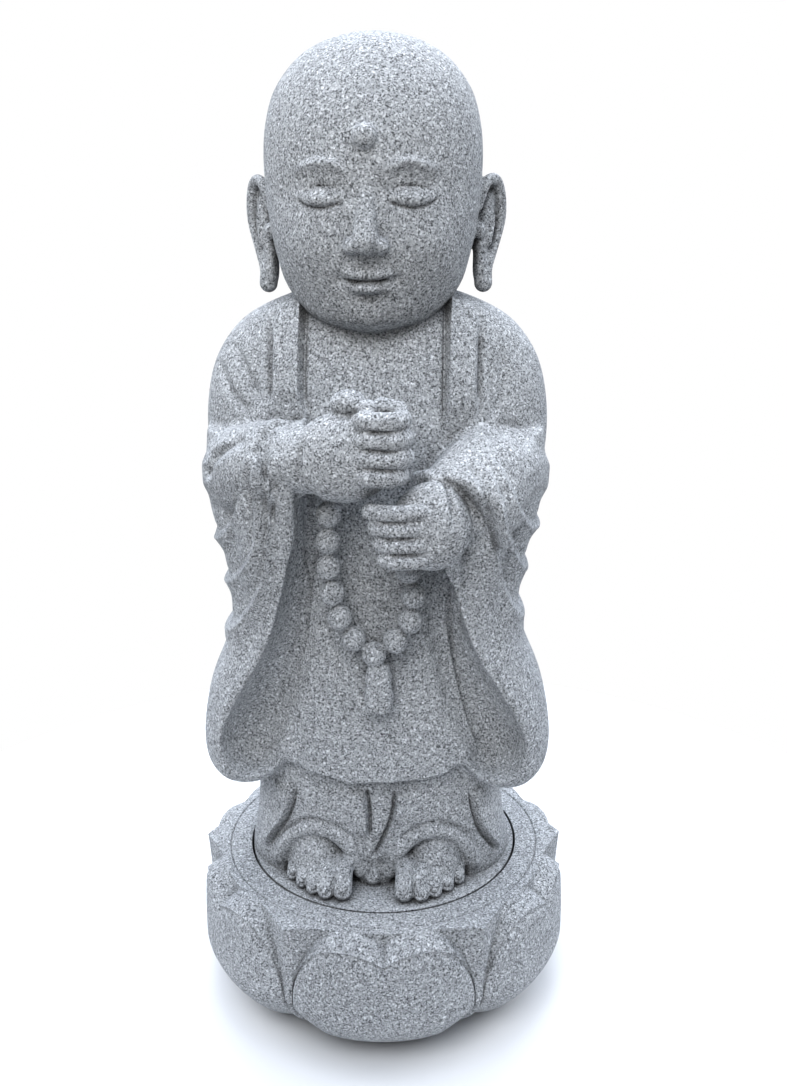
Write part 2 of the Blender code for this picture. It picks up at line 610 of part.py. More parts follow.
def carve_face(clay):
    """A calm child's face: full cheeks, closed lids, fine brows, soft lips and chin."""
    span = HEAD_TOP - CHIN_HEIGHT
    eye = CHIN_HEIGHT + EYE_SHARE * span
    nose = CHIN_HEIGHT + NOSE_SHARE * span
    mouth = CHIN_HEIGHT + MOUTH_SHARE * span
    middle = FIGURE_SHIFT
    for side in (-1, 1):
        clay.swell((middle + side * 0.052, nose + 0.002), (0.028, 0.026), 0.0055)
        clay.swell((middle + side * 0.040, eye + 0.006), (0.027, 0.013), -0.0085)
        clay.swell((middle + side * 0.041, eye + 0.003), (0.020, 0.0095), 0.0115)
        clay.line([(middle + side * x, eye + z) for x, z in
                   ((0.019, 0.0005), (0.030, -0.0040), (0.042, -0.0055), (0.054, -0.0035), (0.064, 0.0020))],
                  -0.0042, 0.0020, fade=0.12)
        clay.line([(middle + side * x, eye + z) for x, z in
                   ((0.020, 0.0075), (0.032, 0.0115), (0.044, 0.0120), (0.058, 0.0085))],
                  -0.0026, 0.0020, fade=0.2)
        clay.line([(middle + side * x, eye + z) for x, z in
                   ((0.013, 0.0215), (0.028, 0.0300), (0.044, 0.0315), (0.066, 0.0225))],
                  0.0042, 0.0042, fade=0.25)
        clay.swell((middle + side * 0.026, mouth + 0.001), (0.0050, 0.0055), -0.0036)
        clay.swell((middle + side * 0.0105, mouth + 0.0062), (0.0090, 0.0040), 0.0056)
    clay.swell((middle, mouth - 0.0060), (0.0130, 0.0050), 0.0075)
    clay.swell((middle, mouth + 0.0125), (0.0045, 0.0060), -0.0026)
    clay.swell((middle, mouth - 0.0135), (0.0130, 0.0045), -0.0034)
    clay.swell((middle, CHIN_HEIGHT + 0.018), (0.018, 0.012), 0.0045)
    clay.line([(middle + x, mouth + z) for x, z in
               ((-0.023, 0.0030), (-0.011, 0.0000), (0, -0.0008), (0.011, 0.0000), (0.023, 0.0030))],
              -0.0042, 0.0020, fade=0.15)


def carve_robe(clay):
    """Edge bands on the chest, arm folds, the stepped sleeve swags and the skirt folds."""
    for side in (-1, 1):
        inner = BAND_CENTRE - BAND_HALF
        outer = BAND_CENTRE + BAND_HALF
        clay.step(((side * inner, 0.760), (side * inner, 0.700), (side * (inner + 0.002), 0.630)),
                  BAND_RISE, 0.003, 0.045, side=-side, fade=(0.02, 0.1))
        clay.line(((side * outer, 0.762), (side * outer, 0.700), (side * (outer - 0.001), 0.652)),
                  -0.0070, 0.0042, fade=0.3)
        for path in LEFT_STEPS if side < 0 else RIGHT_STEPS:
            clay.step(path, STEP_RISE, STEP_WIDTH, STEP_FALL, side=-side)
        for path in BACK_FOLDS:
            clay.line([(side * x, z) for x, z in path], -0.0045, 0.010, facing=1)
    for path in ARM_CREASES:
        clay.line(path, -0.0060, 0.0060)
    for path in ARM_FOLDS:
        clay.line(path, -0.0040, 0.0065)
    for path in INNER_FOLDS:
        clay.line(path, -0.0035, 0.0040)
    hem = [(x, ROBE_HEM + 0.002 - HEM_DIP * math.exp(-(x / 0.045) ** 2)) for x in HEM_PLACES]
    clay.step(hem, 0.0045, 0.0025, 0.018, side=-1, fade=(0.08, 0.08))
    for path, side in SKIRT_STEPS:
        clay.line(path, -0.0035, 0.0022, fade=0.08)
        clay.step(path, 0.0060, 0.0030, 0.024, side=side, fade=(0.02, 0.15))


def figure_place():
    """From the disc and heights that the forms are drawn at to the sizes named at the top."""
    across = DISC_RADIUS / DRAWN_DISC
    upward = (STATUE_HEIGHT - BASE_HEIGHT) / (DRAWN_TOP - DRAWN_FLOOR)
    return (Matrix.Translation((0, 0, BASE_HEIGHT)) @ Matrix.Diagonal((across, across, upward, 1.0))
            @ Matrix.Translation((0, 0, -DRAWN_FLOOR)))


def build_figure():
    """The whole figure with its foot disc, as one stone."""
    skirt = form_object("skirt", build_skirt)
    combine(skirt, form_object("foot_room", build_foot_room), "DIFFERENCE")
    forms = [skirt, form_object("robe", build_robe), form_object("foot_rolls", build_foot_rolls)]
    for side in (-1, 1):
        forms.append(form_object("sleeve", lambda bm, side=side: build_sleeve(bm, side)))
    soft = fuse(forms, "soft_forms", FUSE_SMOOTHING)
    for side in (-1, 1):
        room = form_object("room", lambda bm, side=side: build_sleeve_room(bm, side))
        combine(soft, room, "DIFFERENCE")
    soft = fuse([soft], "cloth", CLOTH_SMOOTHING)
    soft.data.transform(Matrix.Translation((FIGURE_SHIFT, 0, 0)))
    cloth = soft.data.copy()
    forms = [soft]
    for build in (build_head, build_ears, build_hands, build_beads, build_feet):
        form = form_object(build.__name__, build)
        form.data.transform(Matrix.Translation((FIGURE_SHIFT, 0, 0)))
        forms.append(form)
    figure = fuse(forms, "monk_figure", FUSE_SMOOTHING)
    drapery = Clay(figure.data, cloth)
    carve_robe(drapery)
    drapery.settle()
    flesh = Clay(figure.data)
    carve_face(flesh)
    flesh.settle()
    triangles = sum(len(face.vertices) - 2 for face in figure.data.polygons)
    thin = figure.modifiers.new("Decimate", "DECIMATE")
    thin.ratio = FIGURE_TRIANGLES / triangles
    apply_modifiers(figure)
    figure.data.transform(figure_place())
    disc_low = BASE_HEIGHT - RECESS_DEPTH
    combine(figure, disc_object("disc", DISC_RADIUS, disc_low, BASE_HEIGHT), "UNION")
    return figure


def petal_place(angle):
    """How far an angle lies from the middle of its petal: 0 in the middle, 1 between two."""
    pitch = 2 * math.pi / PETAL_COUNT
    return abs((angle / pitch + 0.5) % 1.0 - 0.5) * 2.0


def petal_top(place):
    """Height of a heart-shaped petal's upper edge, as a share of the base's height."""
    if place < LOBE_PLACE:
        return LOBE_HEIGHT - CLEFT_DEPTH * ((LOBE_PLACE - place) / LOBE_PLACE) ** 2.4
    run = min(1.0, (place - LOBE_PLACE) / (PETAL_EDGE - LOBE_PLACE))
    return PETAL_WAIST + (LOBE_HEIGHT - PETAL_WAIST) * math.sqrt(1.0 - run * run)


def bowl_radius(share):
    """Radius of the bowl that the petals lie on."""
    belly = BELLY_HEIGHT / BASE_HEIGHT
    if share < belly:
        return BASE_RADIUS - (BASE_RADIUS - BASE_FOOT_RADIUS) * (1.0 - share / belly) ** 1.7
    return BASE_RADIUS - BOWL_CLOSING * ((share - belly) / (1 - belly)) ** 2


def front_petal(place, share):
    """Radius of the bulging face of a heart-shaped petal and of the bevel above its edge."""
    top = petal_top(place)
    across = 1.0 - min(1.0, place / PETAL_EDGE) ** 3.5
    upper = 1.0 - max(0.0, min(1.0, (top - share) / 0.35))
    cleft = math.exp(-(place / 0.09) ** 2) * max(0.0, share / top - 0.62) / 0.38
    over = max(0.0, share - top) * BASE_HEIGHT
    under = max(0.0, place - PETAL_FOOT) * max(0.0, 1.0 - share / PETAL_WAIST)
    side = max(0.0, place - PETAL_EDGE) * BASE_RADIUS
    return (bowl_radius(share) - PETAL_BULGE * (1.0 - across * (1.0 - PETAL_LEAN * upper ** 2))
            - 0.0025 * cleft - 1.15 * over - 0.055 * under - 0.9 * side)


def back_petal(place, share):
    """Radius of the pointed petal that shows between two heart-shaped ones, and of its stem."""
    point = max(0.0, 1.0 - (1.0 - place) / BACK_PETAL_WIDTH) ** 1.6
    lift = STEM_SHARE + (1.0 - STEM_SHARE) * share ** 3
    return bowl_radius(share) - BACK_PETAL_DEPTH + (BACK_PETAL_DEPTH + BACK_PETAL_TIP) * point * lift


def build_lotus():
    """Round lotus base: heart-shaped petals, pointed ones between, and a recess on top."""
    recess = DISC_RADIUS + RADIAL_GAP
    floor = BASE_HEIGHT - RECESS_DEPTH - SEAT_GAP
    steps = PETAL_COUNT * STEPS_PER_PETAL
    rows = FACE_ROWS + BAND_ROWS
    profile = [(0.0, 0.0)]
    profile += [(BASE_RADIUS, BASE_HEIGHT * row / rows) for row in range(rows + 1)]
    profile += [(RING_SHARE * BASE_RADIUS, BASE_HEIGHT), (recess, BASE_HEIGHT), (recess, floor), (0.0, floor)]
    bm = bmesh.new()
    verts = [bm.verts.new((radius, 0, height)) for radius, height in profile]
    edges = [bm.edges.new(pair) for pair in zip(verts, verts[1:])]
    bmesh.ops.spin(bm, geom=verts + edges, cent=(0, 0, 0), axis=(0, 0, 1),
                   angle=2 * math.pi, steps=steps, use_merge=True)
    bmesh.ops.remove_doubles(bm, verts=bm.verts, dist=0.00001)
    for vert in bm.verts:
        if math.hypot(vert.co.x, vert.co.y) < BASE_RADIUS - 0.001:
            continue
        angle = math.atan2(vert.co.y, vert.co.x) + math.pi / 2
        place = petal_place(angle)
        row = round(vert.co.z / BASE_HEIGHT * rows)
        top = petal_top(place)
        if row <= FACE_ROWS:
            share = top * row / FACE_ROWS
        else:
            share = top + (1.0 - top) * ((row - FACE_ROWS) / BAND_ROWS) ** 1.3
        radius = max(front_petal(place, share), back_petal(place, share), RIM_SHARE * BASE_RADIUS * share)
        vert.co = Vector((math.sin(angle), -math.cos(angle), 0)) * radius
        vert.co.z = share * BASE_HEIGHT
    bmesh.ops.recalc_face_normals(bm, faces=bm.faces)
    mesh = bpy.data.meshes.new("lotus_base")
    bm.to_mesh(mesh)
    bm.free()
    mesh.transform(Matrix.Rotation(math.radians(LOTUS_TURN), 4, "Z"))
    lotus = bpy.data.objects.new("lotus_base", mesh)
    bpy.context.collection.objects.link(lotus)
    return lotus


def finish(thing, name):
    """Name, material and shading of a finished piece."""
    thing.name = name
    thing.data.name = name
    thing.data.materials.clear()
    thing.data.materials.append(stone_material(name + "_stone"))
    for face in thing.data.polygons:
        face.use_smooth = True


def main():
    """Build both stones."""
    clear_scene()
    finish(build_figure(), "monk_figure")
    finish(build_lotus(), "lotus_base")


main()
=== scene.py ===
"""Scene of the child monk statue: fine stone carving, granite, studio light and camera."""
import math

import bmesh
import bpy
import numpy as np
from mathutils import Matrix, Vector
from mathutils.bvhtree import BVHTree


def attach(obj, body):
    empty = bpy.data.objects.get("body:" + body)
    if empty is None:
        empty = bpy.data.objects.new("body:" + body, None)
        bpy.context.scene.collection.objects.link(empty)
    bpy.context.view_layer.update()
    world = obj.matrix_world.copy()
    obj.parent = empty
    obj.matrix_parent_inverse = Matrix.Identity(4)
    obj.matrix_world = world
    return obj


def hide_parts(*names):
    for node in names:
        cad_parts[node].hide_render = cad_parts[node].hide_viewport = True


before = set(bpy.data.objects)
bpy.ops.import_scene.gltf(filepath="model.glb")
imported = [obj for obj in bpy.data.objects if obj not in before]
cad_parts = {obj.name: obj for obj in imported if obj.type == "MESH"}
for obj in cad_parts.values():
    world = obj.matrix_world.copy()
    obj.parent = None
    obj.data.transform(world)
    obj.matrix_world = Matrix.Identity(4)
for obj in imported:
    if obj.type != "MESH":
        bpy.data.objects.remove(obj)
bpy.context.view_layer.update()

# Overall sizes
STATUE_HEIGHT = 1.000
BASE_RADIUS = 0.2073
BASE_HEIGHT = 0.158
BASE_FOOT_RADIUS = 0.150
DISC_RADIUS = 0.148
RECESS_DEPTH = 0.030
RADIAL_GAP = 0.0026
SEAT_GAP = 0.0003

# Lotus base
PETAL_COUNT = 6
LOTUS_TURN = 3.3
STEPS_PER_PETAL = 144
FACE_ROWS = 64
BAND_ROWS = 24
BELLY_HEIGHT = 0.068
BOWL_CLOSING = 0.004
PETAL_BULGE = 0.0090
PETAL_LEAN = 0.06
PETAL_EDGE = 0.955
PETAL_FOOT = 0.62
PETAL_WAIST = 0.42
LOBE_PLACE = 0.42
LOBE_HEIGHT = 0.93
CLEFT_DEPTH = 0.09
BACK_PETAL_DEPTH = 0.0200
BACK_PETAL_TIP = -0.0010
BACK_PETAL_WIDTH = 0.50
STEM_SHARE = 0.50
GROOVE_DEPTH = 0.0040
GROOVE_WIDTH = 0.017
RIM_GROOVE = 0.0030
RIM_GROOVE_WIDTH = 0.0035
RING_SHARE = 0.8386
RING_CUT = 0.0014
RIM_SHARE = 0.8602

# Figure, fusing and smoothing
SHARP_ANGLE = 38
CLOTH_CELL = 0.0020
SKIN_CELL = 0.0015
FUSE_SMOOTHING = 2
CLOTH_SMOOTHING = 6
FIGURE_TRIANGLES = 190000
ROUND_STEPS = 40
TUBE_STEPS = 14
LOFT_STEPS = 4
PATH_STEPS = 24
TRACE_SMOOTHING = 40
NORMAL_SMOOTHING = 10
SEEN_LIFT = (0.35, 1.0, 0.35)

# Head
CROWN_LOSS = 0.0020
HEAD_TOP = STATUE_HEIGHT + CROWN_LOSS
CHIN_HEIGHT = 0.735
HEAD_HALF_WIDTH = 0.1030
HEAD_HALF_DEPTH = 0.1080
HEAD_CENTRE_Y = -0.014
EAR_OUT = 0.1215
EAR_TOP = 0.872
EAR_LOBE = 0.776
MARK_HEIGHT = 0.905
MARK_RADIUS = 0.011
EYE_SHARE = 0.44
NOSE_SHARE = 0.285
MOUTH_SHARE = 0.185

# Robe and sleeves
SHOULDER_HALF = 0.172
MANTLE_DEPTH = 0.100
ROBE_HEM = 0.300
ROBE_FRONT = 0.118
HEM_DIP = 0.014
SLEEVE_FOOT = 0.273
BAND_CENTRE = 0.0845
BAND_HALF = 0.0150
BAND_RISE = 0.0080
BAND_LOW = (0.658, 0.637)
SKIRT_HALF = 0.138
ARCH_HALF = 0.046
ARCH_HEIGHT = 0.068
ARCH_FOOT = BASE_HEIGHT - 0.004
ROLL_RADIUS = 0.0090
RIM_WIDTH = 0.0110
SKIRT_DEPTH = 0.101
LEFT_STEPS = (
    ((-0.107, 0.640), (-0.109, 0.634), (-0.113, 0.618), (-0.119, 0.593), (-0.125, 0.575),
     (-0.137, 0.556), (-0.149, 0.542), (-0.160, 0.534)),
    ((-0.099, 0.638), (-0.101, 0.630), (-0.103, 0.611), (-0.104, 0.585), (-0.106, 0.556),
     (-0.113, 0.535), (-0.124, 0.516), (-0.137, 0.501), (-0.148, 0.492), (-0.158, 0.486)),
    ((-0.084, 0.643), (-0.086, 0.635), (-0.090, 0.614), (-0.091, 0.588), (-0.094, 0.555),
     (-0.098, 0.525), (-0.107, 0.501), (-0.120, 0.476), (-0.134, 0.456), (-0.146, 0.442), (-0.157, 0.432)),
)
RIGHT_STEPS = (
    ((0.096, 0.636), (0.108, 0.630), (0.117, 0.621), (0.124, 0.608), (0.130, 0.595),
     (0.136, 0.579), (0.144, 0.560), (0.152, 0.550), (0.162, 0.545)),
    ((0.089, 0.632), (0.101, 0.624), (0.108, 0.616), (0.113, 0.606), (0.118, 0.593),
     (0.122, 0.572), (0.131, 0.538), (0.140, 0.516), (0.149, 0.499), (0.159, 0.488)),
    ((0.081, 0.625), (0.092, 0.617), (0.099, 0.608), (0.104, 0.591), (0.108, 0.567),
     (0.114, 0.539), (0.121, 0.508), (0.130, 0.482), (0.141, 0.458), (0.150, 0.444), (0.160, 0.436)),
)
STEP_RISE = 0.0050
STEP_WIDTH = 0.0027
STEP_FALL = 0.0100
TIP_FLARE = 2.5
ARM_CREASES = (
    ((-0.160, 0.600), (-0.156, 0.611), (-0.152, 0.620), (-0.141, 0.631), (-0.128, 0.641), (-0.112, 0.649)),
    ((0.104, 0.647), (0.119, 0.648), (0.131, 0.645), (0.138, 0.641), (0.146, 0.631)),
)
ARM_FOLDS = (
    ((-0.156, 0.706), (-0.147, 0.685), (-0.133, 0.669), (-0.118, 0.657)),
    ((-0.138, 0.722), (-0.128, 0.702), (-0.118, 0.684), (-0.107, 0.665)),
    ((0.121, 0.721), (0.121, 0.694), (0.119, 0.672), (0.111, 0.655)),
)
ARM_HOLLOWS = (((-0.113, 0.690), (0.011, 0.026)), ((0.110, 0.692), (0.009, 0.026)))
MOUTH_EDGES = (
    ((-0.049, 0.552), (-0.058, 0.497), (-0.062, 0.455), (-0.069, 0.417), (-0.080, 0.367), (-0.095, 0.323),
     (-0.103, 0.304)),
    ((0.069, 0.548), (0.070, 0.478), (0.072, 0.433), (0.081, 0.377), (0.093, 0.333), (0.104, 0.306)),
)
INNER_FOLDS = (
    ((-0.047, 0.532), (-0.045, 0.493), (-0.042, 0.438), (-0.025, 0.405)),
    ((0.078, 0.540), (0.079, 0.494), (0.082, 0.450)),
)
DRAPE_CURL = (
    ((-0.012, 0.190), (-0.006, 0.181), (-0.010, 0.172), (-0.004, 0.166)),
    ((0.006, 0.188), (0.000, 0.180), (0.005, 0.172), (0.001, 0.164)),
)
HEM_PLACES = (-0.078, -0.055, -0.030, 0.0, 0.030, 0.055, 0.082)
RIBS = (
    ((-0.024, 0.524), (-0.012, 0.509), (0.004, 0.505), (0.020, 0.514), (0.028, 0.526)),
    ((-0.026, 0.503), (-0.012, 0.486), (0.004, 0.481), (0.020, 0.490), (0.028, 0.502)),
)
SKIRT_STEPS = (
    (((-0.014, 0.274), (-0.012, 0.258), (-0.011, 0.237), (-0.012, 0.216)), 1),
    (((0.022, 0.274), (0.021, 0.253), (0.016, 0.231), (0.006, 0.207), (-0.002, 0.189)), -1),
    (((-0.090, 0.266), (-0.092, 0.250), (-0.099, 0.229), (-0.112, 0.206), (-0.126, 0.177)), 1),
    (((0.099, 0.262), (0.102, 0.240), (0.109, 0.214), (0.120, 0.192), (0.131, 0.172)), -1),
)
BACK_FOLDS = (
    ((0.030, 0.640), (0.034, 0.520), (0.040, 0.400), (0.044, 0.320)),
    ((0.075, 0.600), (0.080, 0.500), (0.086, 0.400), (0.088, 0.330)),
)
FIGURE_SHIFT = -0.003

# Hands, beads and feet
UPPER_HAND = Vector((-0.010, -0.163, 0.634))
LOWER_HAND = Vector((0.043, -0.163, 0.573))
UPPER_CUFF = Vector((-0.072, -0.140, 0.630))
LOWER_CUFF = Vector((0.084, -0.136, 0.576))
UPPER_CUFF_RADIUS = 0.037
LOWER_CUFF_RADIUS = 0.050
UPPER_LIP = ((-0.058, -0.118, 0.660, 0.0045), (-0.065, -0.152, 0.652, 0.0060),
             (-0.069, -0.160, 0.620, 0.0070), (-0.074, -0.150, 0.575, 0.0085))
LOWER_LIP = ((0.044, -0.120, 0.610, 0.0055), (0.060, -0.142, 0.614, 0.0065),
             (0.075, -0.158, 0.596, 0.0070), (0.080, -0.160, 0.565, 0.0080), (0.077, -0.146, 0.528, 0.0095))
SLEEVE_LIP = ((0.081, -0.132, 0.500, 0.0110), (0.103, -0.120, 0.436, 0.0115),
              (0.138, -0.110, 0.376, 0.0115), (0.157, -0.096, 0.330, 0.0100))
WRISTS = (
    ((-0.057, 0.654), (-0.059, 0.642), (-0.061, 0.625), (-0.062, 0.608)),
    ((0.064, 0.615), (0.072, 0.608), (0.076, 0.592), (0.076, 0.574)),
)
FINGER_RADIUS = 0.0086
BEAD_COUNT = 12
BEAD_RADIUS = 0.0123
TASSEL_X = 0.008
BEAD_LOOP_BOTTOM = 0.443
BEADS_Y = -0.130
FOOT_CENTRE_X = 0.060
TOES = ((0.0320, 0.1370, 0.0104), (0.0498, 0.1350, 0.0088), (0.0640, 0.1265, 0.0080),
        (0.0768, 0.1150, 0.0074), (0.0888, 0.1010, 0.0068))

# Granite
FIGURE_TONE = 1.0
# Painted shade: the base's granite is a darker copy of the figure's, standing in for the dimmer light on the
# lower stone
BASE_PAINTED_SHADE_TONE = 0.87
GRAIN_SCALE = 520
PEPPER_SCALE = 640
SALT_SCALE = 480
# Painted shade: reach and samples of the occlusion that darkens the granite's colour in creases and hollows
PAINTED_SHADE_REACH = 0.020
PAINTED_SHADE_SAMPLES = 6
HAMMER_SCALE = 330
HAMMER_DEPTH = 0.0012

# Light and camera
FLOOR_COLOUR = (0.7, 0.7, 0.7, 1.0)
FLOOR_RADIUS = 0.8
CAMERA_DISTANCE = 1.10
CAMERA_HEIGHT = 0.85
CAMERA_PITCH = 17.3
CAMERA_LENS = 36.1
CAMERA_TURN = 3.0
CAMERA_ASIDE = 0.015
CAMERA_ROLL = 0.3
SKY = ((0.0, (0.05, 0.048, 0.045)), (0.85, (0.83, 0.92, 1.07)))
SKY_SIDE = (0.0, 0.42, 0.91)
SKY_STRENGTH = 2.3
LIGHTS = (
    ("top_light", (0.0, 0.9, 3.4), (0, 0, 0.5), 2.2, 50),
    ("left_light", (-2.8, 0.8, 2.2), (0, 0, 0.7), 1.6, 30),
    ("right_light", (2.8, 0.8, 2.2), (0, 0, 0.7), 1.6, 30),
    ("front_light", (-0.2, -1.25, 1.55), (0, 0, 0.80), 1.0, 15),
)


def smooth_rows(rows, steps):
    """Rows of numbers with smooth in-between rows, through every given row."""
    table = np.array(rows, dtype=float)
    padded = np.vstack([2 * table[0] - table[1], table, 2 * table[-1] - table[-2]])
    result = []
    for index in range(1, len(padded) - 2):
        before, start, end, after = padded[index - 1:index + 3]
        for step in range(steps):
            t = step / steps
            result.append(0.5 * (2 * start + (end - before) * t
                                 + (2 * before - 5 * start + 4 * end - after) * t * t
                                 + (3 * start - 3 * end + after - before) * t ** 3))
    result.append(table[-1])
    return result


def add_ring(bm, centre, across, along, power, count):
    """One closed ring of edges, a circle at power 2 and squarer above it."""
    made = bmesh.ops.create_circle(bm, cap_ends=False, segments=count, radius=1.0)
    exponent = 2.0 / power
    for vert in made["verts"]:
        side, front = vert.co.x, vert.co.y
        vert.co = (centre + across * math.copysign(abs(side) ** exponent, side)
                   + along * math.copysign(abs(front) ** exponent, front))
    return list(dict.fromkeys(edge for vert in made["verts"] for edge in vert.link_edges))


def skin_rings(bm, rings):
    """Walls between neighbouring rings, and a cap on both ends."""
    for first, second in zip(rings, rings[1:]):
        bmesh.ops.bridge_loops(bm, edges=first + second)
    bmesh.ops.edgeloop_fill(bm, edges=rings[0])
    bmesh.ops.edgeloop_fill(bm, edges=rings[-1])


def loft(bm, rows, power=2.0, mirror=1.0, count=ROUND_STEPS):
    """A form from level sections: height, centre x, centre y, half width, half depth."""
    rings = []
    for height, middle, back, width, depth in smooth_rows(rows, LOFT_STEPS):
        rings.append(add_ring(bm, Vector((mirror * middle, back, height)),
                              Vector((max(width, 0.001), 0, 0)),
                              Vector((0, max(depth, 0.001), 0)), power, count))
    skin_rings(bm, rings)


def tube(bm, rows, round_end=True):
    """A rounded limb along points: x, y, z, radius."""
    points = smooth_rows(rows, LOFT_STEPS)
    rings = []
    places = [Vector(point[:3]) for point in points]
    for index, place in enumerate(places):
        run = places[min(index + 1, len(places) - 1)] - places[max(index - 1, 0)]
        run.normalize()
        across = run.cross(Vector((0, 0, 1)))
        if across.length < 0.1:
            across = run.cross(Vector((0, 1, 0)))
        across.normalize()
        lift = across.cross(run).normalized()
        radius = points[index][3]
        stations = [(0.0, 1.0)]
        if index == 0:
            stations = [(-math.cos(a), math.sin(a)) for a in (0.25, 0.7, 1.15)] + stations
        if index == len(places) - 1 and round_end:
            stations = stations + [(math.cos(a), math.sin(a)) for a in (1.15, 0.7, 0.25)]
        for shift, share in stations:
            rings.append(add_ring(bm, place + run * (shift * radius), across * (radius * share),
                                  lift * (radius * share), 2.0, TUBE_STEPS))
    skin_rings(bm, rings)


def ball(bm, centre, half):
    """An ellipsoid with its own half sizes."""
    place = Matrix.Translation(Vector(centre)) @ Matrix.Diagonal((*half, 1.0))
    bmesh.ops.create_uvsphere(bm, u_segments=20, v_segments=12, radius=1.0, matrix=place)


def form_object(name, build):
    """A hidden working object filled by a build function."""
    bm = bmesh.new()
    build(bm)
    bmesh.ops.recalc_face_normals(bm, faces=bm.faces)
    mesh = bpy.data.meshes.new(name)
    bm.to_mesh(mesh)
    bm.free()
    thing = bpy.data.objects.new(name, mesh)
    bpy.context.collection.objects.link(thing)
    return thing


def apply_modifiers(thing):
    """Bake an object's modifiers into its mesh."""
    graph = bpy.context.evaluated_depsgraph_get()
    mesh = bpy.data.meshes.new_from_object(thing.evaluated_get(graph))
    thing.modifiers.clear()
    thing.data = mesh


def combine(thing, other, operation):
    """Exact Boolean of two working objects. The second one is used up."""
    modifier = thing.modifiers.new("Boolean", "BOOLEAN")
    modifier.operation = operation
    modifier.solver = "EXACT"
    modifier.object = other
    apply_modifiers(thing)
    bpy.data.objects.remove(other, do_unlink=True)


def fuse(things, name, cell, smoothing):
    """Join working objects into one skin of even cells, lightly smoothed."""
    bm = bmesh.new()
    for thing in things:
        bm.from_mesh(thing.data)
        bpy.data.objects.remove(thing, do_unlink=True)
    mesh = bpy.data.meshes.new(name)
    bm.to_mesh(mesh)
    bm.free()
    fused = bpy.data.objects.new(name, mesh)
    bpy.context.collection.objects.link(fused)
    remesh = fused.modifiers.new("Remesh", "REMESH")
    remesh.mode = "VOXEL"
    remesh.voxel_size = cell
    smooth = fused.modifiers.new("Smooth", "SMOOTH")
    smooth.factor = 0.5
    smooth.iterations = smoothing
    apply_modifiers(fused)
    return fused


def build_head(bm):
    """Egg-shaped head with the round mark on the brow, and its nose."""
    span = HEAD_TOP - CHIN_HEIGHT
    shares = ((0.004, 0.25, 0.26, -0.030), (0.05, 0.58, 0.56, -0.020), (0.15, 0.80, 0.79, -0.008),
              (0.25, 0.890, 0.90, -0.004), (0.36, 0.952, 0.96, -0.002), (0.47, 0.985, 0.99, 0.0),
              (0.59, 1.0, 1.0, 0.002), (0.70, 0.975, 0.97, 0.004), (0.81, 0.89, 0.88, 0.008),
              (0.905, 0.70, 0.70, 0.011), (0.962, 0.47, 0.47, 0.013), (0.992, 0.22, 0.22, 0.014))
    rows = [(CHIN_HEIGHT + up * span, 0, HEAD_CENTRE_Y + shift, wide * HEAD_HALF_WIDTH,
             deep * HEAD_HALF_DEPTH) for up, wide, deep, shift in shares]
    loft(bm, rows)
    ball(bm, (0, HEAD_CENTRE_Y - HEAD_HALF_DEPTH * 0.965, MARK_HEIGHT),
         (MARK_RADIUS,) * 3)
    build_face(bm)


def build_face(bm):
    """The nose, from the brow to its rounded tip."""
    span = HEAD_TOP - CHIN_HEIGHT
    eye_line = CHIN_HEIGHT + EYE_SHARE * span
    nose_base = CHIN_HEIGHT + NOSE_SHARE * span
    front = HEAD_CENTRE_Y - HEAD_HALF_DEPTH
    tube(bm, ((0, front + 0.010, eye_line + 0.016, 0.0085), (0, front + 0.002, eye_line - 0.010, 0.0090),
              (0, front - 0.003, nose_base + 0.008, 0.0115)))
    for side in (-1, 1):
        ball(bm, (side * 0.0118, front + 0.003, nose_base + 0.004), (0.0076, 0.010, 0.0070))


def build_ears(bm):
    """Long ears: a rolled rim, a hollow, an inner fold and a lobe that reaches the shoulder."""
    for side in (-1, 1):
        loft(bm, ((EAR_LOBE - 0.004, 0.103, 0.0, 0.005, 0.009),
                  (EAR_LOBE + 0.010, 0.103, 0.0, 0.008, 0.012),
                  (EAR_LOBE + 0.030, 0.102, 0.001, 0.007, 0.012),
                  (EAR_TOP - 0.040, 0.104, 0.006, 0.010, 0.014),
                  (EAR_TOP - 0.018, 0.106, 0.010, 0.010, 0.014),
                  (EAR_TOP - 0.004, 0.106, 0.010, 0.005, 0.009)),
             mirror=side, count=TUBE_STEPS)
        tube(bm, ((side * 0.099, -0.014, EAR_TOP - 0.026, 0.0042),
                  (side * 0.106, -0.010, EAR_TOP - 0.004, 0.0052),
                  (side * 0.115, 0.002, EAR_TOP, 0.0055),
                  (side * (EAR_OUT - 0.001), 0.010, EAR_TOP - 0.013, 0.0056),
                  (side * EAR_OUT, 0.013, EAR_TOP - 0.036, 0.0054),
                  (side * 0.1145, 0.008, EAR_TOP - 0.064, 0.0052),
                  (side * 0.1075, 0.001, EAR_LOBE + 0.014, 0.0070),
                  (side * 0.1055, -0.003, EAR_LOBE, 0.0092)))
        tube(bm, ((side * 0.106, 0.000, EAR_TOP - 0.020, 0.0035),
                  (side * 0.112, 0.000, EAR_TOP - 0.036, 0.0040),
                  (side * 0.109, -0.004, EAR_TOP - 0.058, 0.0040)))
        ball(bm, (side * 0.100, -0.013, EAR_TOP - 0.046), (0.006, 0.006, 0.008))


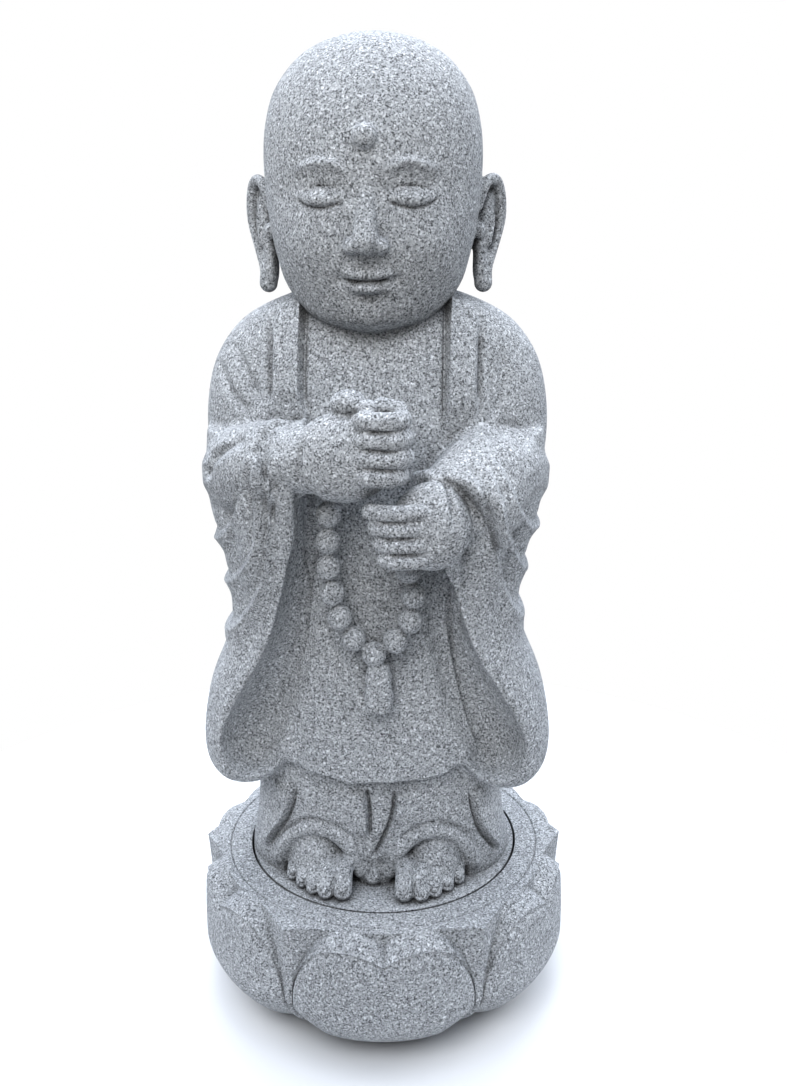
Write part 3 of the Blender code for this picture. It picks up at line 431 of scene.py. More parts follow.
def build_robe(bm):
    """Mantle over the shoulders and the long robe down to its hem."""
    loft(bm, ((0.775, 0, 0.006, 0.060, 0.046), (0.757, 0, 0.008, 0.108, 0.060),
              (0.737, 0, 0.008, 0.139, 0.074), (0.703, 0, 0.006, 0.162, 0.088),
              (0.659, 0, 0.004, SHOULDER_HALF, 0.097), (0.615, 0, 0.003, SHOULDER_HALF, MANTLE_DEPTH),
              (0.570, 0, 0.003, 0.163, MANTLE_DEPTH), (0.520, 0, 0.003, 0.140, 0.098),
              (0.460, 0, 0.003, 0.100, 0.090)), power=2.25)
    first = len(bm.verts)
    loft(bm, ((0.600, 0, 0.004, 0.110, 0.092), (0.520, 0, 0.0, 0.106, 0.100),
              (0.440, 0, -0.002, 0.108, 0.108), (0.360, 0, -0.003, 0.124, 0.112),
              (ROBE_HEM + 0.012, 0, -0.003, 0.137, ROBE_FRONT - 0.004),
              (ROBE_HEM, 0, -0.003, 0.137, ROBE_FRONT - 0.004)), power=2.4)
    bm.verts.ensure_lookup_table()
    for vert in list(bm.verts)[first:]:
        low = max(0.0, 1.0 - (vert.co.z - ROBE_HEM) / 0.10)
        if vert.co.y < 0.0:
            vert.co.z -= HEM_DIP * low * math.exp(-(vert.co.x / 0.045) ** 2)


def build_skirt(bm):
    """Lower robe below the hem, down to the foot disc."""
    loft(bm, ((0.320, 0, -0.003, SKIRT_HALF - 0.012, 0.100), (0.260, 0, -0.003, SKIRT_HALF - 0.006, 0.101),
              (0.200, 0, -0.002, SKIRT_HALF, 0.101), (0.168, 0, 0.0, SKIRT_HALF + 0.006, 0.101),
              (BASE_HEIGHT - 0.012, 0, 0.0, SKIRT_HALF + 0.006, 0.099)), power=2.5)


def build_foot_room(bm):
    """Arched rooms under the skirt's front edge for the two feet."""
    for side in (-1, 1):
        ball(bm, (side * FOOT_CENTRE_X, -0.110, BASE_HEIGHT - 0.006),
             (ARCH_HALF, 0.058, ARCH_HEIGHT))


def skirt_front(x):
    """How far forward the skirt's surface lies at a place across, near its foot."""
    return -SKIRT_DEPTH * (1.0 - min(1.0, abs(x) / (SKIRT_HALF + 0.004)) ** 2.5) ** 0.4


def build_foot_rolls(bm):
    """The thick rolled edge of the skirt over each foot."""
    for side in (-1, 1):
        rows = []
        for turn in (0.30, 0.7, 1.15, 1.57, 2.0, 2.45, 2.85):
            x = FOOT_CENTRE_X + ARCH_HALF * math.cos(turn)
            rows.append((side * x, skirt_front(x) + 0.003,
                         ARCH_FOOT + ARCH_HEIGHT * math.sin(turn), ROLL_RADIUS))
        tube(bm, rows)


def build_sleeve(bm, side):
    """Hanging sleeve: forearm, cuff, rolled lip and a wide round foot."""
    loft(bm, ((0.640, 0.118, -0.020, 0.050, 0.066), (0.580, 0.116, -0.030, 0.052, 0.076),
              (0.500, 0.102, -0.038, 0.047, 0.080), (0.440, 0.103, -0.038, 0.046, 0.084),
              (0.380, 0.117, -0.038, 0.055, 0.086), (0.330, 0.128, -0.038, 0.054, 0.086),
              (0.298, 0.132, -0.038, 0.049, 0.080), (0.280, 0.134, -0.038, 0.037, 0.068),
              (SLEEVE_FOOT, 0.136, -0.038, 0.022, 0.050)), power=2.3, mirror=side)
    cuff = UPPER_CUFF if side < 0 else LOWER_CUFF
    wide = UPPER_CUFF_RADIUS if side < 0 else LOWER_CUFF_RADIUS
    tube(bm, ((side * 0.128, -0.030, 0.592, 0.048), (side * 0.114, -0.085, 0.606, 0.046),
              (cuff.x, cuff.y, cuff.z, wide)), round_end=False)
    loft(bm, ((0.400, 0.104, -0.080, 0.022, 0.036), (0.440, 0.100, -0.084, 0.026, 0.042),
              (0.500, 0.098, -0.090, 0.030, 0.048), (0.550, 0.097, -0.096, 0.032, 0.052),
              (0.600, 0.097, -0.100, 0.032, 0.052), (0.625, 0.098, -0.100, 0.026, 0.044)), mirror=side)
    lip = UPPER_LIP if side < 0 else LOWER_LIP
    tube(bm, lip + tuple((side * x, y, z, radius) for x, y, z, radius in SLEEVE_LIP))


def build_sleeve_room(bm, side):
    """The long hollow of a sleeve's mouth, open to the front and inward."""
    loft(bm, ((0.562, 0.062, -0.124, 0.006, 0.018), (0.540, 0.062, -0.126, 0.014, 0.030),
              (0.500, 0.062, -0.128, 0.021, 0.038), (0.440, 0.074, -0.130, 0.027, 0.044),
              (0.380, 0.098, -0.130, 0.037, 0.052), (0.335, 0.117, -0.126, 0.038, 0.052),
              (0.308, 0.121, -0.120, 0.028, 0.044), (0.293, 0.122, -0.114, 0.012, 0.030)), mirror=side)


def build_hands(bm):
    """Two fists, one over the other, with curled fingers."""
    hand = UPPER_HAND
    ball(bm, hand + Vector((-0.008, 0.004, 0.002)), (0.047, 0.031, 0.041))
    tube(bm, ((-0.095, -0.118, hand.z - 0.006, 0.028), (-0.050, -0.150, hand.z - 0.003, 0.031)))
    for index in range(4):
        level = hand.z + 0.0390 - 0.0164 * index
        reach = 0.002 * (index in (1, 2)) - 0.002 * (index == 3)
        tube(bm, ((hand.x + 0.010, hand.y - 0.020, level, FINGER_RADIUS),
                  (hand.x + 0.034 + reach, hand.y - 0.024, level, FINGER_RADIUS * 1.03),
                  (hand.x + 0.044 + reach, hand.y - 0.010, level, FINGER_RADIUS),
                  (hand.x + 0.034 + reach, hand.y + 0.008, level, FINGER_RADIUS)))
    ball(bm, hand + Vector((0.018, 0.000, 0.028)), (0.026, 0.020, 0.020))
    tube(bm, ((hand.x + 0.026, hand.y - 0.002, hand.z + 0.048, 0.0090),
              (hand.x + 0.040, hand.y - 0.004, hand.z + 0.046, 0.0085)))
    ball(bm, hand + Vector((-0.004, 0.004, 0.050)), (0.0165, 0.014, 0.0125))
    ball(bm, hand + Vector((0.014, -0.008, 0.047)), (0.0095, 0.009, 0.0090))
    hand = LOWER_HAND
    ball(bm, hand + Vector((0.016, 0.004, 0)), (0.037, 0.029, 0.041))
    tube(bm, ((0.102, -0.110, hand.z + 0.008, 0.032), (0.064, -0.146, hand.z + 0.002, 0.034)))
    for index in range(4):
        level = hand.z + 0.0190 - 0.0148 * index
        reach = 0.0045 * index
        tube(bm, ((hand.x + 0.008, hand.y - 0.018, level, FINGER_RADIUS * 0.86),
                  (hand.x - 0.018 + reach * 0.5, hand.y - 0.023, level, FINGER_RADIUS * 0.90),
                  (hand.x - 0.038 + reach, hand.y - 0.016, level, FINGER_RADIUS * 0.88)))


def bead_places():
    """Centres of the beads that hang in a loop below the hands, one bead apart."""
    low = BEAD_LOOP_BOTTOM
    path = smooth_rows(((-0.036, low + 0.157), (-0.038, low + 0.110), (-0.038, low + 0.078),
                        (-0.028, low + 0.030), (0.002, low - 0.007), (0.034, low + 0.018),
                        (0.042, low + 0.048), (0.037, low + 0.078)), 24)
    stretches = [math.hypot(*(after - before)) for before, after in zip(path, path[1:])]
    gap = 0.9999 * sum(stretches) / (BEAD_COUNT - 1)
    places = []
    travelled = 0.0
    for before, after, stretch in zip(path, path[1:], stretches):
        while travelled <= stretch:
            x, z = before + (after - before) * (travelled / stretch)
            places.append(Vector((x, BEADS_Y, z)))
            travelled += gap
        travelled -= stretch
    return places


def build_beads(bm):
    """Prayer beads and their tassel, lying on the front of the robe."""
    for place in bead_places():
        ball(bm, place, (BEAD_RADIUS,) * 3)
    low = BEAD_LOOP_BOTTOM
    loft(bm, ((low - 0.067, TASSEL_X, BEADS_Y + 0.001, 0.0140, 0.010),
              (low - 0.050, TASSEL_X, BEADS_Y + 0.001, 0.0148, 0.012),
              (low - 0.039, TASSEL_X, BEADS_Y + 0.001, 0.0125, 0.011),
              (low - 0.034, TASSEL_X, BEADS_Y + 0.001, 0.0140, 0.012),
              (low - 0.028, TASSEL_X, BEADS_Y + 0.001, 0.0125, 0.011),
              (low - 0.018, TASSEL_X, BEADS_Y + 0.001, 0.0100, 0.010)), count=TUBE_STEPS)


def build_feet(bm):
    """Bare feet with five toes each."""
    for side in (-1, 1):
        loft(bm, ((BASE_HEIGHT - 0.010, FOOT_CENTRE_X, -0.060, 0.037, 0.046),
                  (BASE_HEIGHT + 0.008, FOOT_CENTRE_X, -0.060, 0.037, 0.048),
                  (BASE_HEIGHT + 0.024, FOOT_CENTRE_X, -0.060, 0.037, 0.047),
                  (BASE_HEIGHT + 0.043, FOOT_CENTRE_X, -0.060, 0.033, 0.041),
                  (BASE_HEIGHT + 0.056, FOOT_CENTRE_X, -0.058, 0.023, 0.034),
                  (BASE_HEIGHT + 0.064, FOOT_CENTRE_X, -0.054, 0.010, 0.018)), mirror=side)
        for place, tip, size in TOES:
            low = BASE_HEIGHT + size * 0.85
            tube(bm, ((side * (place * 0.94 + 0.003), 0.040 - tip, low + 0.017, size * 1.02),
                      (side * (place * 0.98 + 0.001), 0.026 - tip, low + 0.014, size * 0.98),
                      (side * place, 0.013 - tip, low + 0.005, size * 0.95),
                      (side * place, size - tip, low, size * 0.98)))
    tube(bm, ((0.0, -0.088, 0.215, 0.010), (0.003, -0.093, 0.185, 0.009), (-0.002, -0.096, 0.166, 0.011)))


def disc_object(name, radius, low, high):
    """A plain round disc."""
    def build(bm):
        bmesh.ops.create_cone(bm, cap_ends=True, segments=96, radius1=radius, radius2=radius,
                              depth=high - low,
                              matrix=Matrix.Translation((0, 0, (high + low) / 2)))
    return form_object(name, build)


class Clay:
    """A fused skin that strokes and swells move. Paths are found on it, or on a plainer skin."""

    def __init__(self, mesh, traced=None):
        self.mesh = mesh
        count = len(mesh.vertices)
        self.places = np.empty(count * 3)
        mesh.vertices.foreach_get("co", self.places)
        self.places = self.places.reshape(-1, 3)
        self.normals = np.empty(count * 3)
        mesh.vertex_normals.foreach_get("vector", self.normals)
        self.normals = self.normals.reshape(-1, 3)
        pairs = np.empty(len(mesh.edges) * 2, dtype=np.int64)
        mesh.edges.foreach_get("vertices", pairs)
        starts, ends = pairs.reshape(-1, 2).T
        for _ in range(NORMAL_SMOOTHING):
            for axis in range(3):
                column = self.normals[:, axis].copy()
                self.normals[:, axis] += np.bincount(starts, weights=column[ends], minlength=count)
                self.normals[:, axis] += np.bincount(ends, weights=column[starts], minlength=count)
            self.normals /= np.linalg.norm(self.normals, axis=1)[:, None]
        self.moves = np.zeros((count, 3))
        source = traced or mesh
        self.tree = BVHTree.FromPolygons([v.co.copy() for v in source.vertices],
                                         [tuple(f.vertices) for f in source.polygons])

    def trace(self, points, facing):
        """A smooth path on the skin through (x, z) points seen from the front or the back."""
        found = []
        for x, z in smooth_rows(points, PATH_STEPS):
            place, normal, _, _ = self.tree.ray_cast(Vector((x, facing, z)), Vector((0, -facing, 0)))
            if place is None:
                place, normal, _, _ = self.tree.find_nearest(Vector((x, 0.06 * facing, z)))
            found.append((*place, *normal))
        path = np.array(found)
        for _ in range(TRACE_SMOOTHING):
            path[1:-1] = (path[:-2] + 2 * path[1:-1] + path[2:]) / 4
        path[:, 3:] /= np.linalg.norm(path[:, 3:], axis=1)[:, None]
        return path

    def near(self, path, reach):
        """Skin vertices near a path: index, distance, side, share along it and the path's normal."""
        low = path[:, :3].min(axis=0) - reach
        high = path[:, :3].max(axis=0) + reach
        index = np.nonzero(np.all((self.places > low) & (self.places < high), axis=1))[0]
        offset = self.places[index][:, None, :] - path[None, :, :3]
        distance = np.sqrt((offset ** 2).sum(axis=2))
        closest = distance.argmin(axis=1)
        pick = np.arange(len(index))
        tangent = np.gradient(path[:, :3], axis=0)
        aside = np.cross(tangent, path[:, 3:])
        aside /= np.linalg.norm(aside, axis=1)[:, None] + 1e-9
        away = (offset[pick, closest] * aside[closest]).sum(axis=1)
        facing = (self.normals[index] * path[closest, 3:]).sum(axis=1)
        keep = (distance[pick, closest] < reach) & (facing > -0.2)
        share = closest / (len(path) - 1)
        return index[keep], distance[pick, closest][keep], away[keep], share[keep], path[closest[keep], 3:]

    def near_seen(self, points, reach):
        """Like near, measured as seen from the front, and last the way that each vertex lifts."""
        path = np.array([(x, 0.0, z) for x, z in smooth_rows(points, PATH_STEPS)])
        seen = self.places * (1.0, 0.0, 1.0)
        low = path.min(axis=0) - reach
        high = path.max(axis=0) + reach
        inside = np.all((seen > low) & (seen < high), axis=1) & (self.normals[:, 1] < 0.5)
        index = np.nonzero(inside)[0]
        offset = seen[index][:, None, :] - path[None, :, :]
        distance = np.sqrt((offset ** 2).sum(axis=2))
        closest = distance.argmin(axis=1)
        pick = np.arange(len(index))
        aside = np.cross(np.gradient(path, axis=0), (0.0, -1.0, 0.0))
        aside /= np.linalg.norm(aside, axis=1)[:, None] + 1e-9
        away = (offset[pick, closest] * aside[closest]).sum(axis=1)
        lift = self.normals[index] * SEEN_LIFT
        lift /= np.linalg.norm(lift, axis=1)[:, None] + 1e-9
        lift *= np.clip((0.5 - self.normals[index, 1]) / 0.5, 0, 1)[:, None]
        keep = distance[pick, closest] < reach
        share = closest / (len(path) - 1)
        return index[keep], distance[pick, closest][keep], away[keep], share[keep], lift[keep]

    def line(self, points, rise, width, facing=-1, fade=0.18):
        """A groove (rise below zero) or a ridge along a path on the skin."""
        index, distance, _, share, _ = self.near(self.trace(points, facing), width * 3)
        ends = np.clip(np.minimum(share, 1 - share) / fade, 0, 1)
        amount = rise * np.exp(-(distance / width) ** 2) * ends
        self.moves[index] += self.normals[index] * amount[:, None]

    def crease(self, points, rise, width, fade=0.18):
        """A groove along a path as it is seen from the front."""
        index, distance, _, share, lift = self.near_seen(points, width * 3)
        ends = np.clip(np.minimum(share, 1 - share) / fade, 0, 1)
        self.moves[index] += lift * (rise * np.exp(-(distance / width) ** 2) * ends)[:, None]

    def step(self, points, rise, width, fall, side=1, fade=(0.12, 0.02), foot=0.3, seen=False):
        """A cloth edge: a wall up to a path, high beyond it and sinking back over a distance."""
        reach = fall * 2.2
        if seen:
            index, _, away, share, lift = self.near_seen(points, reach)
        else:
            index, _, away, share, lift = self.near(self.trace(points, -1), reach)
            lift = lift * np.clip((self.normals[index] * lift).sum(axis=1) / 0.6, 0, 1)[:, None]
        away = away * side
        ends = np.clip(share / fade[0], 0, 1) * np.clip((1 - share) / fade[1], 0, 1)
        wide = width * (1 + TIP_FLARE * seen * share ** 6)
        edge = np.clip(away / wide + 1, 0, 1)
        body = np.exp(-(np.maximum(away, 0) / fall) ** 2)
        dip = -foot * np.exp(-((away + 1.5 * wide) / (0.7 * wide)) ** 2)
        rim = 0.20 * np.exp(-((away - 0.3 * width) / (0.6 * width)) ** 2)
        self.moves[index] += lift * (rise * (edge * body + dip + rim) * ends)[:, None]

    def swell(self, centre, half, rise, facing=-1):
        """A soft rise or hollow around an (x, z) centre."""
        x, z = centre
        far = ((self.places[:, 0] - x) / half[0]) ** 2 + ((self.places[:, 2] - z) / half[1]) ** 2
        front = np.clip(facing * self.normals[:, 1] / 0.3, 0, 1)
        self.moves += self.normals * (rise * np.exp(-far) * front)[:, None]

    def settle(self):
        """Move the skin by all strokes so far."""
        self.places += self.moves
        self.mesh.vertices.foreach_set("co", self.places.ravel())
        self.mesh.update()


def carve_face(clay):
    """A calm child's face: full cheeks, closed lids, fine brows, soft lips and chin."""
    span = HEAD_TOP - CHIN_HEIGHT
    eye = CHIN_HEIGHT + EYE_SHARE * span
    nose = CHIN_HEIGHT + NOSE_SHARE * span
    mouth = CHIN_HEIGHT + MOUTH_SHARE * span
    middle = FIGURE_SHIFT
    for side in (-1, 1):
        clay.swell((middle + side * 0.052, nose + 0.002), (0.028, 0.026), 0.0055)
        clay.swell((middle + side * 0.040, eye + 0.006), (0.027, 0.013), -0.0085)
        clay.swell((middle + side * 0.041, eye + 0.003), (0.020, 0.0095), 0.0115)
        clay.line([(middle + side * x, eye + z) for x, z in
                   ((0.019, 0.0005), (0.030, -0.0040), (0.042, -0.0055), (0.054, -0.0035), (0.064, 0.0020))],
                  -0.0042, 0.0020, fade=0.12)
        clay.line([(middle + side * x, eye + z) for x, z in
                   ((0.020, 0.0075), (0.032, 0.0115), (0.044, 0.0120), (0.058, 0.0085))],
                  -0.0026, 0.0020, fade=0.2)
        clay.line([(middle + side * x, eye + z) for x, z in
                   ((0.013, 0.0215), (0.028, 0.0300), (0.044, 0.0315), (0.066, 0.0225))],
                  0.0042, 0.0042, fade=0.25)
        clay.swell((middle + side * 0.026, mouth + 0.001), (0.0050, 0.0055), -0.0036)
        clay.swell((middle + side * 0.0105, mouth + 0.0062), (0.0090, 0.0040), 0.0056)
    clay.swell((middle, mouth - 0.0060), (0.0130, 0.0050), 0.0075)
    clay.swell((middle, mouth + 0.0125), (0.0045, 0.0060), -0.0026)
    clay.swell((middle, mouth - 0.0135), (0.0130, 0.0045), -0.0034)
    clay.swell((middle, CHIN_HEIGHT + 0.018), (0.018, 0.012), 0.0045)
    clay.line([(middle + x, mouth + z) for x, z in
               ((-0.023, 0.0030), (-0.011, 0.0000), (0, -0.0008), (0.011, 0.0000), (0.023, 0.0030))],
              -0.0042, 0.0020, fade=0.15)


def carve_hands(clay):
    """Grooves that part the curled fingers, and the cuffs' edges round the wrists."""
    for path in WRISTS:
        clay.line(path, -0.0045, 0.0030, fade=0.3)
    for index in range(3):
        level = UPPER_HAND.z + 0.0308 - 0.0164 * index
        start = UPPER_HAND.x + FIGURE_SHIFT
        clay.line(((start + 0.010, level + 0.001), (start + 0.024, level), (start + 0.046, level)),
                  -0.0020, 0.0018, fade=0.35)
        level = LOWER_HAND.z + 0.0116 - 0.0148 * index
        start = LOWER_HAND.x + FIGURE_SHIFT + 0.0045 * index
        clay.line(((start + 0.000, level - 0.001), (start - 0.020, level), (start - 0.046, level)),
                  -0.0020, 0.0018, fade=0.35)


def carve_feet(clay):
    """The rolled rim over each foot, grooves that part the toes, and a small nail on each."""
    for path in DRAPE_CURL:
        clay.line(path, -0.0018, 0.0019)
    for side in (-1, 1):
        rim = [(side * (FOOT_CENTRE_X + (ARCH_HALF + RIM_WIDTH) * math.cos(turn)) + FIGURE_SHIFT,
                ARCH_FOOT + (ARCH_HEIGHT + RIM_WIDTH) * math.sin(turn))
               for turn in (0.45, 0.8, 1.2, 1.57, 2.0, 2.4)]
        clay.line(rim, -0.0036, 0.0024, fade=0.2)
        for (place, _, size), (following, _, smaller) in zip(TOES, TOES[1:]):
            between = (place + size + following - smaller) / 2 * side + FIGURE_SHIFT
            clay.line(((between - side * 0.001, BASE_HEIGHT + 0.026), (between, BASE_HEIGHT + 0.015),
                       (between, BASE_HEIGHT + 0.004)), -0.0012, 0.0016, fade=0.3)
        for place, _, size in TOES:
            middle = side * place + FIGURE_SHIFT
            level = BASE_HEIGHT + size * 1.35
            clay.line([(middle + size * 0.48 * math.sin(turn), level - size * 0.42 * math.cos(turn))
                       for turn in (-2.2, -1.4, -0.7, 0.0, 0.7, 1.4, 2.2)], -0.0020, 0.0013, fade=0.1)


def carve_tassel(clay):
    """Strands that part the tassel below its collar."""
    for share in (-0.5, 0.0, 0.5):
        strand = TASSEL_X + FIGURE_SHIFT + 0.0105 * share
        clay.line(((strand, BEAD_LOOP_BOTTOM - 0.042), (strand, BEAD_LOOP_BOTTOM - 0.066)),
                  -0.0015, 0.0012, fade=0.1)


def carve_robe(clay):
    """Edge bands on the chest, arm folds, the stepped sleeve swags and the skirt folds."""
    for side in (-1, 1):
        inner = BAND_CENTRE - BAND_HALF
        outer = BAND_CENTRE + BAND_HALF
        low = BAND_LOW[side > 0]
        clay.step(((side * inner, 0.760), (side * inner, 0.712), (side * inner, low)),
                  BAND_RISE, 0.0026, 0.045, side=-side, fade=(0.02, 0.22))
        clay.line(((side * outer, 0.762), (side * outer, 0.700), (side * (outer - 0.001), 0.652)),
                  -0.0075, 0.0036, fade=0.3)
        for path in LEFT_STEPS if side < 0 else RIGHT_STEPS:
            clay.step(path, STEP_RISE, STEP_WIDTH, STEP_FALL, side=side, fade=(0.20, 0.02), foot=0.15,
                      seen=True)
        for path in BACK_FOLDS:
            clay.line([(side * x, z) for x, z in path], -0.0045, 0.010, facing=1)
    for path in ARM_CREASES:
        clay.crease(path, -0.0080, 0.0038, fade=0.12)
    for path in ARM_FOLDS:
        clay.crease(path, -0.0046, 0.0046)
    for centre, half in ARM_HOLLOWS:
        clay.swell(centre, half, -0.0050)
    for path, side in zip(MOUTH_EDGES, (-1, 1)):
        clay.step(path, 0.0042, 0.0022, 0.0160, side=side, fade=(0.1, 0.1))
    for path in INNER_FOLDS:
        clay.line(path, -0.0035, 0.0040)
    for path in RIBS:
        clay.line(path, 0.0022, 0.0026)
    hem = [(x, ROBE_HEM + 0.002 - HEM_DIP * math.exp(-(x / 0.045) ** 2)) for x in HEM_PLACES]
    clay.step(hem, 0.0050, 0.0024, 0.018, side=-1, fade=(0.08, 0.08), foot=0.0)
    for path, side in SKIRT_STEPS:
        clay.step(path, 0.0060, 0.0024, 0.024, side=side, fade=(0.12, 0.15), foot=0.7)


def build_figure():
    """The whole figure with its foot disc, as one stone."""
    skirt = form_object("skirt", build_skirt)
    combine(skirt, form_object("foot_room", build_foot_room), "DIFFERENCE")
    forms = [skirt, form_object("robe", build_robe), form_object("foot_rolls", build_foot_rolls)]
    for side in (-1, 1):
        forms.append(form_object("sleeve", lambda bm, side=side: build_sleeve(bm, side)))
    soft = fuse(forms, "soft_forms", CLOTH_CELL, FUSE_SMOOTHING)
    for side in (-1, 1):
        room = form_object("room", lambda bm, side=side: build_sleeve_room(bm, side))
        combine(soft, room, "DIFFERENCE")
    soft = fuse([soft], "cloth", CLOTH_CELL, CLOTH_SMOOTHING)
    soft.data.transform(Matrix.Translation((FIGURE_SHIFT, 0, 0)))
    cloth = soft.data.copy()
    forms = [soft]
    for build in (build_head, build_ears, build_hands, build_beads, build_feet):
        form = form_object(build.__name__, build)
        form.data.transform(Matrix.Translation((FIGURE_SHIFT, 0, 0)))
        forms.append(form)
    figure = fuse(forms, "monk_figure", SKIN_CELL, FUSE_SMOOTHING)
    drapery = Clay(figure.data, cloth)
    carve_robe(drapery)
    drapery.settle()
    flesh = Clay(figure.data)
    carve_face(flesh)
    carve_hands(flesh)
    carve_feet(flesh)
    carve_tassel(flesh)
    flesh.settle()
    triangles = sum(len(face.vertices) - 2 for face in figure.data.polygons)
    thin = figure.modifiers.new("Decimate", "DECIMATE")
    thin.ratio = FIGURE_TRIANGLES / triangles
    apply_modifiers(figure)
    disc_low = BASE_HEIGHT - RECESS_DEPTH
    combine(figure, disc_object("disc", DISC_RADIUS, disc_low, BASE_HEIGHT), "UNION")
    return figure


def petal_place(angle):
    """How far an angle lies from the middle of its petal: 0 in the middle, 1 between two."""
    pitch = 2 * math.pi / PETAL_COUNT
    return abs((angle / pitch + 0.5) % 1.0 - 0.5) * 2.0


def petal_top(place):
    """Height of a heart-shaped petal's upper edge, as a share of the base's height."""
    if place < LOBE_PLACE:
        return LOBE_HEIGHT - CLEFT_DEPTH * ((LOBE_PLACE - place) / LOBE_PLACE) ** 2.4
    run = min(1.0, (place - LOBE_PLACE) / (PETAL_EDGE - LOBE_PLACE))
    return PETAL_WAIST + (LOBE_HEIGHT - PETAL_WAIST) * math.sqrt(1.0 - run * run)


def bowl_radius(share):
    """Radius of the bowl that the petals lie on."""
    belly = BELLY_HEIGHT / BASE_HEIGHT
    if share < belly:
        return BASE_RADIUS - (BASE_RADIUS - BASE_FOOT_RADIUS) * (1.0 - share / belly) ** 1.7
    return BASE_RADIUS - BOWL_CLOSING * ((share - belly) / (1 - belly)) ** 2


def front_petal(place, share):
    """Radius of the bulging face of a heart-shaped petal and of the bevel above its edge."""
    top = petal_top(place)
    across = 1.0 - min(1.0, place / PETAL_EDGE) ** 3.5
    upper = 1.0 - max(0.0, min(1.0, (top - share) / 0.35))
    cleft = math.exp(-(place / 0.09) ** 2) * max(0.0, min(share / top, 1.0) - 0.62) / 0.38
    over = max(0.0, share - top) * BASE_HEIGHT
    line = math.exp(-((top - share) * BASE_HEIGHT / RIM_GROOVE_WIDTH - 1.0) ** 2)
    under = max(0.0, place - PETAL_FOOT) * max(0.0, 1.0 - share / PETAL_WAIST)
    side = max(0.0, place - PETAL_EDGE) * BASE_RADIUS
    return (bowl_radius(share) - PETAL_BULGE * (1.0 - across * (1.0 - PETAL_LEAN * upper ** 2))
            - 0.0008 * cleft - RIM_GROOVE * line - 1.6 * over - 0.055 * under - 0.9 * side)


def back_petal(place, share):
    """Radius of the pointed petal that shows between two heart-shaped ones, and of its stem."""
    point = max(0.0, 1.0 - (1.0 - place) / BACK_PETAL_WIDTH) ** 1.6
    lift = STEM_SHARE + (1.0 - STEM_SHARE) * share ** 3
    return bowl_radius(share) - BACK_PETAL_DEPTH + (BACK_PETAL_DEPTH + BACK_PETAL_TIP) * point * lift


def build_lotus():
    """Round lotus base: heart-shaped petals, pointed ones between, and a recess on top."""
    recess = DISC_RADIUS + RADIAL_GAP
    ring = RING_SHARE * BASE_RADIUS
    floor = BASE_HEIGHT - RECESS_DEPTH - SEAT_GAP
    steps = PETAL_COUNT * STEPS_PER_PETAL
    rows = FACE_ROWS + BAND_ROWS
    profile = [(0.0, 0.0)]
    profile += [(BASE_RADIUS, BASE_HEIGHT * row / rows) for row in range(rows + 1)]
    profile += [(ring + RING_CUT, BASE_HEIGHT), (ring, BASE_HEIGHT - RING_CUT),
                (ring - RING_CUT, BASE_HEIGHT), (recess, BASE_HEIGHT), (recess, floor), (0.0, floor)]
    bm = bmesh.new()
    verts = [bm.verts.new((radius, 0, height)) for radius, height in profile]
    edges = [bm.edges.new(pair) for pair in zip(verts, verts[1:])]
    bmesh.ops.spin(bm, geom=verts + edges, cent=(0, 0, 0), axis=(0, 0, 1),
                   angle=2 * math.pi, steps=steps, use_merge=True)
    bmesh.ops.remove_doubles(bm, verts=bm.verts, dist=0.00001)
    for vert in bm.verts:
        if math.hypot(vert.co.x, vert.co.y) < BASE_RADIUS - 0.001:
            continue
        angle = math.atan2(vert.co.y, vert.co.x) + math.pi / 2
        place = petal_place(angle)
        row = round(vert.co.z / BASE_HEIGHT * rows)
        top = petal_top(place)
        if row <= FACE_ROWS:
            share = top * row / FACE_ROWS
        else:
            share = top + (1.0 - top) * ((row - FACE_ROWS) / BAND_ROWS) ** 1.3
        radius = max(front_petal(place, share), back_petal(place, share), RIM_SHARE * BASE_RADIUS * share)
        if share < top:
            radius -= GROOVE_DEPTH * math.exp(-((place - PETAL_EDGE) / GROOVE_WIDTH) ** 2)
        vert.co = Vector((math.sin(angle), -math.cos(angle), 0)) * radius
        vert.co.z = share * BASE_HEIGHT
    bmesh.ops.recalc_face_normals(bm, faces=bm.faces)
    mesh = bpy.data.meshes.new("lotus_base")
    bm.to_mesh(mesh)
    bm.free()
    mesh.transform(Matrix.Rotation(math.radians(LOTUS_TURN), 4, "Z"))
    lotus = bpy.data.objects.new("lotus_base", mesh)
    bpy.context.collection.objects.link(lotus)
    return lotus


def link(tree, out_node, out_name, in_node, in_name):
    """Join two sockets of a node tree."""
    tree.links.new(out_node.outputs[out_name], in_node.inputs[in_name])


